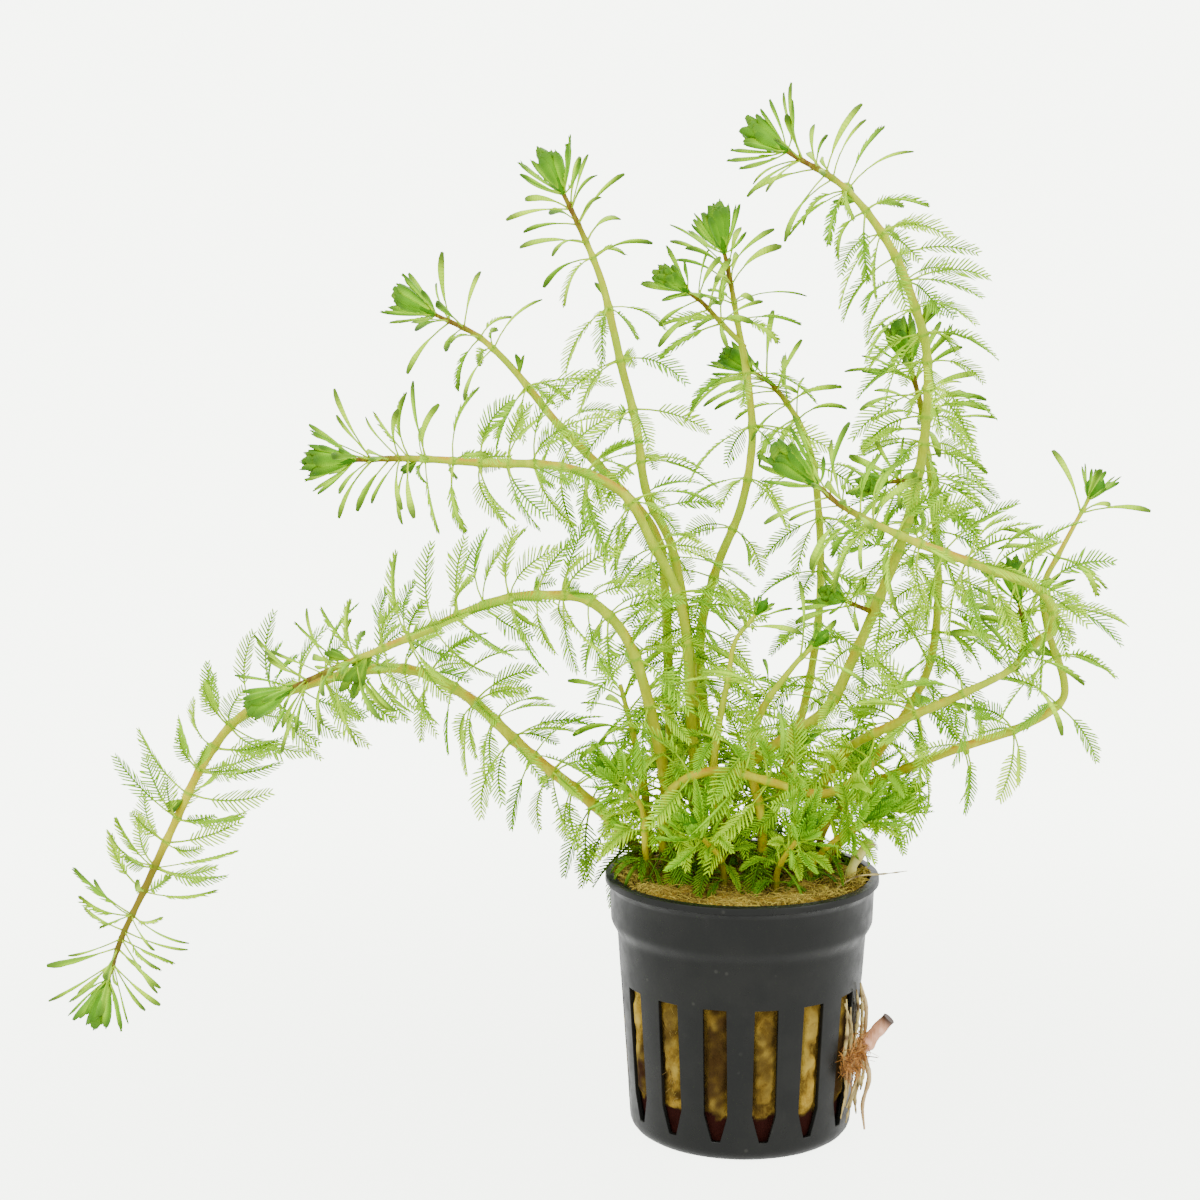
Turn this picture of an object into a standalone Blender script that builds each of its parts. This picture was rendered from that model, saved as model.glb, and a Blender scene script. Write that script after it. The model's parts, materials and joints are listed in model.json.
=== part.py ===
"""Parrots feather growing in a slotted net pot, at its real size.

Metres, +Z up. The origin is the middle of the pot's flat underside, +X runs to
the side with the tall right stem and -Y is the front. The black pot holds a
plug of rock wool. Every stem stands in its own socket in the plug, and carries
whorls of feather leaves and a crown of young leaves at its tip.
"""

import math
import random
from dataclasses import dataclass

import bmesh
import bpy
import numpy as np
from mathutils import Matrix, Vector
from mathutils.bvhtree import BVHTree

MM = 0.001
PART_NAME = "parrots_feather_plant"

# Pot, in mm
POT_HEIGHT = 52.0
RIM_RADIUS = 27.0
RIM_LIP = 1.5
RIM_EDGE = 0.4
LIP_RISE = 0.9
BAND_RADIUS = 26.05
BAND_FOOT_RADIUS = 25.85
STEP_HEIGHT = 39.8
STEP_RISE = 3.5
WALL_TOP_RADIUS = 24.5
WALL_FOOT_RADIUS = 22.0
CORNER_RADIUS = 3.0
POT_WALL = 0.9
FLOOR = 1.2
POT_STEPS = 30
SLOTS = 15
SLOT_WIDTH = 4.6
SLOT_TOP = 31.0
SLOT_SHOULDER = 9.6
SLOT_POINT = 4.2
SLOT_POINT_WIDTH = 1.7
FRONT_TURN_DEG = -3.3

# Rock wool plug, in mm
GAP = 0.35
WOOL_TOP = 51.3
WOOL_FOOT = 7.0
WOOL_SIDES = 14
WOOL_LUMP = 0.9
WOOL_LEVELS = (WOOL_FOOT, 22.0, STEP_HEIGHT, WOOL_TOP - 1.6)
SOCKET_FOOT = 43.5
SOCKET_GAP = 0.45
SOCKET_FLARE = 0.4

# Stems and leaves, in mm and degrees
STEM_SIDES = 4
BODY_GAIN = 1.12
ROUTE_STEP = 0.5
NODE_HALF = 0.6
NODE_SWELL = 1.12
TIP_SHARE = 0.6
TIP_REACH = 24.0
WHORL_SPACING = 10.5
WHORL_TURN = 22.0
LAST_WHORL = 2.5
ROLL_JITTER = 150.0
TURN_PER_RING = 14.0
LEAF_LENGTH = 15.0
BLADE_WIDTH = 4.6
CLOSED_WIDTH = 2.0
BLADE_THICKNESS = 0.45
YOUNG_REACH = 20.0
SPREAD_OLD = 106.0
SPREAD_YOUNG = 46.0
SPREAD_JITTER = 26.0
TURN_JITTER = 30.0
RECURVE = 0.42
YOUNG_RECURVE = 0.15
DROOP = 0.12
YOUNG_LENGTH = 0.86
CROWN_ROWS = ((44.0, 1.05), (20.0, 0.95))
CROWN_ROW_STEP = 1.5
CROWN_WIDTH = 0.3
BUD_SWELL = 0.11
BUD_TIP = 0.75
FUSED_START = 0.9
LEAF_SEED = 100
CROWN_SEED = 500
CLEARANCE = 0.15


@dataclass(frozen=True)
class Stem:
    """One stem: its route from root to tip in mm, its sizes, and what it carries.

    crown is the length of the crown's leaves, 0 for a tip without one.
    fused keeps a short shoot and its crown in one piece. A side shoot names the
    stem that it forks from, and its route starts at the spot where it forks.
    """

    name: str
    route: tuple
    base_radius: float = 1.15
    tip_radius: float = 0.75
    first_whorl: float = 14.0
    leaf: float = LEAF_LENGTH
    crown: float = 10.0
    fused: bool = False
    parent: str = ""


def planted(x, y, *rest):
    """A route that starts upright in the plug at x, y and goes on through rest."""
    return ((x, y, SOCKET_FOOT + GAP), (x, y, WOOL_TOP + 2.0)) + rest


STEMS = (
    Stem("left_arch_stem", planted(
        -13, 6, (-14, 3, 62), (-17, -3, 80), (-22, -7, 98), (-29, -10, 107), (-37, -12, 109),
        (-48, -14, 108), (-63, -17, 102), (-77, -19, 96.5), (-85, -20, 93)),
        1.3, 0.7, first_whorl=24.0),
    Stem("trailing_stem", planted(
        -20, 9, (-28, 6, 63), (-42, 4, 75), (-55, 4, 87), (-67, 4, 92), (-82, 3, 90),
        (-97, 1, 84), (-105, -1, 75), (-111, -3, 63), (-117, -5, 50), (-121.5, -6.8, 40.5),
        (-124, -7.5, 33)), 1.25, 0.7),
    Stem("left_level_stem", planted(
        -8, 3, (-10, 0, 80), (-12, -3, 104), (-18, -5, 118), (-24, -7, 128), (-35, -9, 133),
        (-50, -11, 134), (-63, -13, 135), (-73, -15.5, 135)), first_whorl=34.0),
    Stem("upper_left_stem", planted(
        -13, 13, (-14, 12, 80), (-15, 10, 105), (-17, 10, 118), (-26, 11, 129), (-36, 13, 139),
        (-45, 14, 150), (-52, 15, 156.5), (-60, 16, 160.5)), first_whorl=30.0),
    Stem("tall_left_stem", planted(
        -7, 10, (-9, 7, 80), (-11, 5, 100), (-14, 4, 116), (-19, 4, 127), (-21, 3, 140),
        (-24, 1, 152), (-27.5, -1, 167), (-31.5, -2.5, 177), (-34.6, -3.5, 183.5)),
        first_whorl=30.0),
    Stem("centre_stem", planted(
        -1, 15, (-6, 14, 75), (-8, 13, 95), (-5, 13, 110), (0, 13, 123), (2, 12, 136),
        (1, 12, 148), (-1, 12, 159), (-2.5, 11.3, 167), (-3.7, 10.5, 172.3)),
        1.15, 0.7, first_whorl=24.0),
    Stem("back_stem", planted(
        5, 12, (10, 18, 68), (15, 23, 87), (17, 25, 105), (16, 25, 125), (13, 23, 137),
        (7, 20, 146), (3, 19, 149)), 0.95, 0.7, crown=8.0),
    Stem("tall_right_stem", planted(
        -2, 5, (-4, 0, 64), (-1, -4, 73), (7, -4, 79), (16, -2, 85), (21, 0, 94),
        (26, 0, 106), (31, -2, 121), (34, -3, 138), (34, -5, 153), (31, -6, 164),
        (25.8, -8, 175), (17.5, -10, 185), (7, -11.7, 191.4)), 1.3, 0.75),
    Stem("looped_stem", planted(
        -15, -1, (-16, -6, 62), (-14, -10, 71), (-6, -12, 75), (4, -12, 73), (14, -10, 70),
        (22, -5, 72), (30, 3, 80), (37, 8, 91), (39, 10, 105), (38, 10, 122), (36, 10, 136),
        (34.6, 9.5, 144), (32.5, 8, 150.5)), 0.92, 0.75),
    Stem("right_front_stem", planted(
        8, 2, (13, 2, 64), (20, 0, 76), (28, -8, 83), (40, -14, 90), (50, -16, 96),
        (52, -15, 102), (51.2, -14, 107.2)), 1.15, 0.7, crown=9.0),
    Stem("far_right_stem", planted(
        11, 7, (16, 8, 59), (23, 7, 66), (31, 1, 72), (41, -6, 78), (52, -7, 82),
        (60, -8, 87), (61, -8, 92), (58, -7, 101), (57, -6, 109.5), (60, -5, 116),
        (65.6, -3, 126)), 1.05, 0.62, crown=8.5),
    Stem("short_pale_stem", planted(
        4, -4, (3, -8, 66), (1, -8, 76), (3, -9, 86), (8.5, -12, 95), (12, -13, 99)),
        1.05, 0.75, crown=6.5),
    Stem("bud_stem", planted(
        -5, -3, (-6, -6, 66), (-6, -7, 75), (-5, -8, 84), (-3.5, -9, 92), (-2.2, -9, 99.5),
        (1.3, -10, 104.5)), 0.9, 0.62, crown=5.0, leaf=12.0),
    Stem("bare_left_stem", planted(
        -18, 3, (-19, 3, 66), (-21, 3, 77), (-24, 3, 89)), 0.95, 0.7, crown=0.0, leaf=14.0),
    Stem("centre_side_shoot", (
        (-0.6, 12, 155), (-4.5, 9, 159.5), (-8.1, 6, 163.3), (-10.7, 4, 165.3)),
        0.7, 0.62, first_whorl=4.0, leaf=13.0, crown=8.5, parent="centre_stem"),
    Stem("right_front_branch", (
        (52, -16, 98), (57, -18, 104), (54, -20, 111), (42, -21, 116), (29, -23, 121),
        (17, -25, 127), (12, -26, 131)), 0.95, 0.75, crown=11.0, first_whorl=8.0, parent="right_front_stem"),
    Stem("upper_side_shoot", (
        (33, -3, 129), (30, -5, 130), (27, -7.5, 130)),
        0.7, 0.62, first_whorl=3.0, leaf=13.0, crown=7.5, parent="tall_right_stem"),
    Stem("lower_side_shoot", (
        (25, 0, 104), (21.5, -2, 105.5), (19.5, -4, 106.5)),
        0.7, 0.62, first_whorl=4.0, leaf=12.0, crown=7.5, parent="tall_right_stem"),
    Stem("rim_left_shoot", planted(
        -19, -5, (-19.3, -7, 60), (-20, -8.6, 67), (-22.8, -9.5, 70.6)),
        0.95, 0.7, first_whorl=12.0, leaf=12.0, fused=True),
    Stem("low_shoot_front_left", planted(
        -4, -9, (-5, -12, 58), (-8, -15, 62)), 0.9, 0.7, first_whorl=9.0, leaf=13.0, fused=True),
    Stem("low_shoot_front", planted(
        6, -11, (7, -14, 58), (9, -17, 62)), 0.9, 0.7, first_whorl=9.0, leaf=14.0, fused=True),
    Stem("low_shoot_front_right", planted(
        13, -5, (16, -8, 59), (21, -11, 64)), 0.9, 0.7, first_whorl=10.0, leaf=14.0, fused=True),
    Stem("low_shoot_right", planted(
        17, 2, (21, 1, 59), (27, -1, 64)), 0.9, 0.7, first_whorl=10.0, leaf=13.0, fused=True),
    Stem("low_shoot_back_right", planted(
        16, 12, (19, 14, 60), (23, 17, 67)), 0.9, 0.7, first_whorl=10.0, leaf=14.0, fused=True),
    Stem("low_shoot_back", planted(
        5, 19, (7, 22, 60), (10, 25, 68)), 0.9, 0.7, first_whorl=10.0, leaf=14.0, fused=True),
    Stem("low_shoot_back_left", planted(
        -7, 18, (-9, 21, 60), (-12, 25, 68)), 0.9, 0.7, first_whorl=10.0, leaf=14.0, fused=True),
)


def material(name, colour, roughness):
    """A plain Principled material with a colour and a roughness."""
    made = bpy.data.materials.new(name)
    made.use_nodes = True
    shader = made.node_tree.nodes["Principled BSDF"]
    shader.inputs["Base Color"].default_value = (*colour, 1.0)
    shader.inputs["Roughness"].default_value = roughness
    shader.inputs["Metallic"].default_value = 0.0
    return made


def new_object(name, data, collection, finish=None):
    """An object for a mesh or a curve, in a collection, with its material."""
    made = bpy.data.objects.new(name, data)
    collection.objects.link(made)
    if finish is not None:
        data.materials.append(finish)
    return made


def mesh_from(bm, name, smooth_angle=40.0):
    """A mesh from bm, shaded smooth with sharp edges past an angle."""
    bmesh.ops.recalc_face_normals(bm, faces=bm.faces)
    mesh = bpy.data.meshes.new(name)
    bm.to_mesh(mesh)
    bm.free()
    mesh.shade_smooth()
    mesh.set_sharp_from_angle(angle=math.radians(smooth_angle))
    return mesh


def hide_cutter(cutter):
    """Marks an object as a cutter: left out of renders and drawn as wire."""
    cutter.hide_render = True
    cutter.display_type = "WIRE"
    return cutter


def wall_radius(z):
    """The pot wall's outer radius at a height, below the step, in mm."""
    share = (z - CORNER_RADIUS) / (STEP_HEIGHT - CORNER_RADIUS)
    return WALL_FOOT_RADIUS + share * (WALL_TOP_RADIUS - WALL_FOOT_RADIUS)


def pot_profile():
    """The pot's outline as (radius, height) in mm: up the inside, down the outside."""
    floor_radius = WALL_FOOT_RADIUS - CORNER_RADIUS
    inner = [
        (0.0, FLOOR),
        (floor_radius, FLOOR),
        (wall_radius(CORNER_RADIUS + 1.0) - POT_WALL, CORNER_RADIUS + 1.0),
        (WALL_TOP_RADIUS - POT_WALL, STEP_HEIGHT),
        (BAND_RADIUS - POT_WALL, POT_HEIGHT),
    ]
    outer = [
        (RIM_RADIUS - RIM_EDGE, POT_HEIGHT),
        (RIM_RADIUS, POT_HEIGHT - RIM_EDGE),
        (RIM_RADIUS, POT_HEIGHT - RIM_LIP),
        (BAND_RADIUS, POT_HEIGHT - RIM_LIP - LIP_RISE),
        (BAND_FOOT_RADIUS, STEP_HEIGHT + STEP_RISE),
        (WALL_TOP_RADIUS, STEP_HEIGHT),
    ]
    corner = []
    for turn in (0.0, 45.0, 90.0):
        angle = math.radians(turn)
        corner.append((
            floor_radius + CORNER_RADIUS * math.cos(angle),
            CORNER_RADIUS - CORNER_RADIUS * math.sin(angle),
        ))
    return inner + outer + corner + [(0.0, 0.0)]


def slot_outline():
    """Half-width and height of a slot's corners in mm: square above, pointed below."""
    half = SLOT_WIDTH / 2
    point = SLOT_POINT_WIDTH / 2
    return [
        (-half, SLOT_TOP), (half, SLOT_TOP), (half, SLOT_SHOULDER),
        (point, SLOT_POINT), (-point, SLOT_POINT), (-half, SLOT_SHOULDER),
    ]


def slot_cutters(collection):
    """Upright prisms that stand through the pot's wall, one for each slot, in one object."""
    bm = bmesh.new()
    inside = (WALL_FOOT_RADIUS - CORNER_RADIUS - 1.0) * MM
    outside = (RIM_RADIUS + 2.0) * MM
    for index in range(SLOTS):
        angle = 2 * math.pi * (index + 0.5) / SLOTS + math.radians(FRONT_TURN_DEG) - math.pi / 2
        turn = Matrix.Rotation(angle, 3, "Z")
        corners = [bm.verts.new(turn @ Vector((inside, x * MM, z * MM))) for x, z in slot_outline()]
        face = bm.faces.new(corners)
        grown = bmesh.ops.extrude_face_region(bm, geom=[face])["geom"]
        moved = [item for item in grown if isinstance(item, bmesh.types.BMVert)]
        bmesh.ops.translate(bm, verts=moved, vec=turn @ Vector((outside - inside, 0, 0)))
    return hide_cutter(new_object("slot_cutters", mesh_from(bm, "slot_cutters"), collection))


def build_pot(parts, cutters):
    """The black net pot: a turned wall with a rim band and upright slots all round."""
    bm = bmesh.new()
    ring = [bm.verts.new((radius * MM, 0, z * MM)) for radius, z in pot_profile()]
    for first, second in zip(ring, ring[1:]):
        bm.edges.new((first, second))
    mesh = bpy.data.meshes.new("pot")
    bm.to_mesh(mesh)
    bm.free()
    pot = new_object("pot", mesh, parts, material("pot_plastic", (0.032, 0.032, 0.030), 0.38))
    turned = pot.modifiers.new("turned", "SCREW")
    turned.axis = "Z"
    turned.steps = POT_STEPS
    turned.render_steps = POT_STEPS
    turned.use_merge_vertices = True
    turned.merge_threshold = 0.00001
    turned.use_smooth_shade = False
    slots = pot.modifiers.new("slots", "BOOLEAN")
    slots.operation = "DIFFERENCE"
    slots.object = slot_cutters(cutters)
    slots.solver = "EXACT"
    return pot


def wool_height(x, y):
    """Height of the plug's lumpy top over a point, in mm: slow waves in both directions."""
    waves = math.sin(0.42 * x + 0.8) * math.cos(0.37 * y - 0.5) + 0.6 * math.sin(0.71 * y + 0.29 * x)
    return WOOL_TOP + WOOL_LUMP * 0.5 * waves


def wool_radius(z):
    """The plug's largest radius at a height, in mm: the pot's inner wall less a gap."""
    above = max(0.0, z - STEP_HEIGHT) / (POT_HEIGHT - STEP_HEIGHT)
    widening = above * (BAND_RADIUS - WALL_TOP_RADIUS)
    return wall_radius(min(z, STEP_HEIGHT)) + widening - POT_WALL - GAP


def socket_cutters(stems, collection):
    """One upright square hole for each planted stem, wider than the stem, in one object."""
    bm = bmesh.new()
    tall = WOOL_TOP + 6.0 - SOCKET_FOOT
    for stem in stems:
        if stem.parent:
            continue
        x, y, _ = stem.route[0]
        reach = (stem.base_radius * BODY_GAIN + SOCKET_GAP) * math.sqrt(2)
        made = bmesh.ops.create_cone(
            bm, cap_ends=True, segments=4, depth=tall * MM, radius1=reach * MM,
            radius2=(reach + SOCKET_FLARE) * MM)
        place = Vector((x, y, SOCKET_FOOT + tall / 2)) * MM
        bmesh.ops.translate(bm, verts=made["verts"], vec=place)
    return hide_cutter(new_object("socket_cutters", mesh_from(bm, "socket_cutters"), collection))


def build_wool(parts, cutters, stems):
    """The rock wool plug: a tapered, uneven cylinder with a lumpy top and stem sockets."""
    draws = random.Random(11)
    bm = bmesh.new()
    rings = []
    for level, z in enumerate(WOOL_LEVELS):
        ring = []
        for side in range(WOOL_SIDES):
            angle = 2 * math.pi * side / WOOL_SIDES
            radius = wool_radius(z) - draws.random() * WOOL_LUMP
            lift = draws.uniform(-1.4, 1.4) if level == 0 else 0.0
            spot = Vector((radius * math.cos(angle), radius * math.sin(angle), z + lift))
            ring.append(bm.verts.new(spot * MM))
        rings.append(ring)
    for share in (0.86, 0.5):
        ring = []
        for side in range(WOOL_SIDES):
            angle = 2 * math.pi * side / WOOL_SIDES
            x = share * wool_radius(WOOL_TOP) * math.cos(angle)
            y = share * wool_radius(WOOL_TOP) * math.sin(angle)
            ring.append(bm.verts.new(Vector((x, y, wool_height(x, y))) * MM))
        rings.append(ring)
    for lower, upper in zip(rings, rings[1:]):
        for side in range(WOOL_SIDES):
            after = (side + 1) % WOOL_SIDES
            bm.faces.new((lower[side], lower[after], upper[after], upper[side]))
    bm.faces.new(list(reversed(rings[0])))
    bm.faces.new(rings[-1])
    bmesh.ops.triangulate(bm, faces=bm.faces)
    wool = new_object(
        "rock_wool", mesh_from(bm, "rock_wool"), parts,
        material("rock_wool", (0.45, 0.28, 0.06), 0.95))
    sockets = wool.modifiers.new("sockets", "BOOLEAN")
    sockets.operation = "DIFFERENCE"
    sockets.object = socket_cutters(stems, cutters)
    sockets.solver = "EXACT"
    return wool


def curve_tube(name, points, radii, parts, finish, resolution):
    """A tube through points with a radius at each, both in mm, with filled ends."""
    data = bpy.data.curves.new(name, "CURVE")
    data.dimensions = "3D"
    data.bevel_depth = MM
    data.bevel_resolution = resolution
    data.use_fill_caps = True
    spline = data.splines.new("POLY")
    spline.points.add(len(points) - 1)
    for spot, point, radius in zip(spline.points, points, radii):
        spot.co = (*(Vector(point) * MM), 1.0)
        spot.radius = radius
    return new_object(name, data, parts, finish)


def build_roots(parts):
    """The cut side root, the root strands on the pot's right side and the stub at the rim."""
    pink = material("cut_root", (0.42, 0.22, 0.13), 0.7)
    pale = material("root_strand", (0.55, 0.36, 0.17), 0.8)
    straw = material("cut_stub", (0.62, 0.55, 0.26), 0.7)
    curve_tube(
        "side_root", [(21.9, -3.6, 16.6), (23.4, -3.9, 17.3), (24.6, -4.1, 18.2), (26, -4.3, 19.9),
                      (29, -5, 23.6)],
        (0.8, 1.0, 2.0, 1.25, 1.3), parts, pink, 1)
    curve_tube(
        "root_strand_upper", [(23.8, -3.2, 30.0), (24.5, -3.6, 26.0), (24.6, -3.3, 22.0)],
        (0.35, 0.5, 0.45), parts, pale, 0)
    curve_tube(
        "root_strand_lower", [(24.6, -4.6, 15.2), (25.2, -5.2, 11.0), (24.0, -5.4, 6.0), (24.4, -5.8, 1.0)],
        (0.55, 0.5, 0.45, 0.3), parts, pale, 0)
    curve_tube(
        "rim_stub", [(20.6, -4, wool_height(20.6, -4) + 1.4), (21.6, -4, 55), (24.4, -3.4, 58.8)],
        (1.0, 1.05, 1.1), parts, straw, 1)


class Route:
    """A smooth line through a stem's points, with a frame carried along it, in mm."""

    def __init__(self, points):
        given = np.array(points, dtype=float)
        padded = np.vstack([2 * given[0] - given[1], given, 2 * given[-1] - given[-2]])
        dense = []
        for index in range(len(given) - 1):
            before, start, end, after = padded[index:index + 4]
            for t in np.linspace(0, 1, 24, endpoint=False):
                dense.append(0.5 * (
                    2 * start + (end - before) * t
                    + (2 * before - 5 * start + 4 * end - after) * t ** 2
                    + (3 * start - before - 3 * end + after) * t ** 3))
        dense.append(given[-1])
        dense = np.array(dense)
        along = np.concatenate([[0], np.cumsum(np.linalg.norm(np.diff(dense, axis=0), axis=1))])
        self.length = along[-1]
        self.s = np.linspace(0, self.length, max(4, int(self.length / ROUTE_STEP)))
        self.points = np.stack([np.interp(self.s, along, dense[:, k]) for k in range(3)], axis=1)
        tangents = np.gradient(self.points, axis=0)
        self.tangents = tangents / np.linalg.norm(tangents, axis=1)[:, None]
        side = np.array([0.0, -1.0, 0.0])
        if abs(self.tangents[0] @ side) > 0.8:
            side = np.array([0.0, 0.0, 1.0])
        sides = []
        for tangent in self.tangents:
            side = side - (side @ tangent) * tangent
            side = side / np.linalg.norm(side)
            sides.append(side)
        self.sides = np.array(sides)

    def frame(self, s):
        """Point, tangent and two crosswise directions at a distance from the root."""
        row = int(round(np.clip(s / self.length, 0, 1) * (len(self.s) - 1)))
        point = np.array([np.interp(s, self.s, self.points[:, k]) for k in range(3)])
        tangent = self.tangents[row]
        side = self.sides[row]
        return point, tangent, side, np.cross(tangent, side)


def stem_radius(stem, route, s):
    """The stem's radius at a distance from its root in mm: an even taper, then a thin tip."""
    even = stem.base_radius + s / route.length * (stem.tip_radius - stem.base_radius)
    return even * (TIP_SHARE + (1 - TIP_SHARE) * min(1.0, (route.length - s) / TIP_REACH))


def routes_of(stems):
    """Every stem's route by name. A side shoot starts just clear of its parent's side."""
    routes = {}
    by_name = {stem.name: stem for stem in stems}
    for stem in stems:
        points = [np.array(point, dtype=float) for point in stem.route]
        if stem.parent:
            parent = routes[stem.parent]
            row = int(np.linalg.norm(parent.points - points[0], axis=1).argmin())
            spot = parent.points[row]
            way = (points[1] - spot) / np.linalg.norm(points[1] - spot)
            slant = abs(way @ parent.tangents[row])
            thick = stem_radius(by_name[stem.parent], parent, parent.s[row])
            reach = (thick * NODE_SWELL + stem.base_radius * slant) * BODY_GAIN + GAP
            clear = reach / math.sqrt(1 - slant ** 2)
            points[0] = spot + clear * way
        routes[stem.name] = Route(points)
    return routes


@dataclass
class Leaf:
    """A leaf's three guide points, its flat direction and its width, in mm."""

    root: np.ndarray
    middle: np.ndarray
    tip: np.ndarray
    across: np.ndarray
    width: float


def make_leaf(root, tangent, outward, spread, length, bend, roll, width):
    """A leaf that leaves the stem at an angle from its tangent and bends past its middle."""
    angle = math.radians(spread)
    first = math.cos(angle) * tangent + math.sin(angle) * outward
    second = first + bend
    second = second / np.linalg.norm(second)
    across = np.cross(outward, tangent)
    flat = np.cross(across, first)
    turn = math.radians(roll)
    across = math.cos(turn) * across + math.sin(turn) * flat
    middle = root + 0.5 * length * first
    return Leaf(root, middle, middle + 0.5 * length * second, across, width)


def whorl_leaves(stem, route, s, index, draws):
    """Every leaf of one whorl, in turn round the stem, with the same draws for each."""
    point, tangent, side, cross = route.frame(s)
    age = min(1.0, (route.length - s) / YOUNG_REACH)
    radius = stem_radius(stem, route, s)
    leaves = []
    for place in range(STEM_SIDES):
        turn, longer, wider, droop, roll = (draws.random() for _ in range(5))
        angle = 2 * math.pi * (place + 0.5) / STEM_SIDES
        angle += math.radians(TURN_JITTER * (turn - 0.5) + WHORL_TURN * (-1) ** index)
        outward = math.cos(angle) * side + math.sin(angle) * cross
        length = stem.leaf * (0.78 + 0.34 * longer) * (YOUNG_LENGTH + (1 - YOUNG_LENGTH) * age)
        spread = SPREAD_YOUNG + (SPREAD_OLD - SPREAD_YOUNG) * age + SPREAD_JITTER * (wider - 0.5)
        width = CLOSED_WIDTH + (BLADE_WIDTH - CLOSED_WIDTH) * age ** 2
        recurve = (YOUNG_RECURVE + (RECURVE - YOUNG_RECURVE) * age) * (0.5 + droop)
        bend = -recurve * tangent - np.array([0.0, 0.0, DROOP])
        leaves.append(make_leaf(
            point + radius * outward, tangent, outward, spread, length,
            bend, ROLL_JITTER * (roll - 0.5), width))
    return leaves


def whorl_places(stem, route):
    """Distances from the root at which the whorls sit, evenly spaced up to the tip."""
    last = route.length - LAST_WHORL
    if last <= stem.first_whorl:
        return [last]
    count = max(1, int(round((last - stem.first_whorl) / WHORL_SPACING)))
    return [float(s) for s in np.linspace(stem.first_whorl, last, count + 1)]


def chosen_blades(index):
    """Which leaves of a whorl are solid blades: three, then two, going round the stem."""
    return {(index + k) % STEM_SIDES for k in ((0, 1, 2) if index % 2 else (1, 3))}


class Shoot:
    """Grows one closed body: a tube ring by ring, with leaves drawn out of its sides."""

    def __init__(self):
        self.bm = bmesh.new()
        self.bands = {}
        self.last = None

    def ring(self, point, side, cross, radius, phase=0.0, key=None):
        """Adds a ring; the band of faces below it is kept under key for its leaves."""
        verts = []
        for place in range(STEM_SIDES):
            angle = 2 * math.pi * place / STEM_SIDES + phase
            reach = radius * BODY_GAIN
            spot = point + reach * (math.cos(angle) * side + math.sin(angle) * cross)
            verts.append(self.bm.verts.new(Vector(spot) * MM))
        if self.last is None:
            self.bm.faces.new(list(reversed(verts)))
        else:
            band = []
            for place in range(STEM_SIDES):
                after = (place + 1) % STEM_SIDES
                band.append(self.bm.faces.new(
                    (self.last[place], self.last[after], verts[after], verts[place])))
            if key is not None:
                self.bands[key] = band
        self.last = verts

    def close(self, tip=None):
        """Closes the top, drawn out to a tip if there is one."""
        cap = self.bm.faces.new(self.last)
        if tip is not None:
            centre = bmesh.ops.poke(self.bm, faces=[cap])["verts"][0]
            centre.co = Vector(tip) * MM

    def draw_out(self, face, leaf):
        """Draws a keeled blade out of a side face: flat below, ridged above, pointed.

        Its middle is a triangle of two edges and a ridge, which takes fewer faces
        than any extrusion would, so the faces are laid by hand.
        """
        low_left, low_right, high_right, high_left = face.verts
        rightward = np.array(low_right.co) - np.array(low_left.co)
        upward = np.array(high_left.co) - np.array(low_left.co)
        across = leaf.across if leaf.across @ rightward > 0 else -leaf.across
        flat = np.cross(across, leaf.tip - leaf.root)
        flat = flat / np.linalg.norm(flat)
        flat = flat if flat @ upward > 0 else -flat
        make = self.bm.verts.new
        left = make(Vector(leaf.middle - leaf.width / 2 * across) * MM)
        right = make(Vector(leaf.middle + leaf.width / 2 * across) * MM)
        ridge = make(Vector(leaf.middle + BLADE_THICKNESS * flat) * MM)
        tip = make(Vector(leaf.tip) * MM)
        self.bm.faces.remove(face)
        for corners in (
                (low_left, low_right, right), (low_left, right, left), (low_right, high_right, right),
                (high_right, high_left, ridge), (high_right, ridge, right), (high_left, left, ridge),
                (high_left, low_left, left), (left, right, tip), (right, ridge, tip),
                (ridge, left, tip)):
            self.bm.faces.new(corners)


def blade_tree(leaf):
    """A search tree of the blade's outer part, grown all round by the clearance."""
    along = (leaf.tip - leaf.root) / np.linalg.norm(leaf.tip - leaf.root)
    flat = np.cross(leaf.across, along)
    near = leaf.root + 0.3 * (leaf.middle - leaf.root)
    corners = []
    for centre, half, thick in (
            (near, leaf.width * 0.15 + 0.5, 0.7 * NODE_HALF),
            (leaf.middle, leaf.width / 2, BLADE_THICKNESS)):
        for x, z in ((-1, -1), (1, -1), (1, 1), (-1, 1)):
            shift = x * (half + CLEARANCE) * leaf.across + z * (thick + CLEARANCE) * flat
            corners.append(tuple(centre + shift))
    corners.append(tuple(leaf.tip + CLEARANCE * along))
    sides = [(k, (k + 1) % 4, (k + 1) % 4 + 4, k + 4) for k in range(4)]
    points = [(k + 4, (k + 1) % 4 + 4, 8) for k in range(4)]
    return BVHTree.FromPolygons(corners, sides + points + [(3, 2, 1, 0)])


def blade_box(leaf):
    """Lowest and highest corners of a box round the blade, in mm."""
    spots = np.array([leaf.root, leaf.middle, leaf.tip])
    reach = leaf.width / 2 + 0.5
    return spots.min(axis=0) - reach, spots.max(axis=0) + reach


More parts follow.
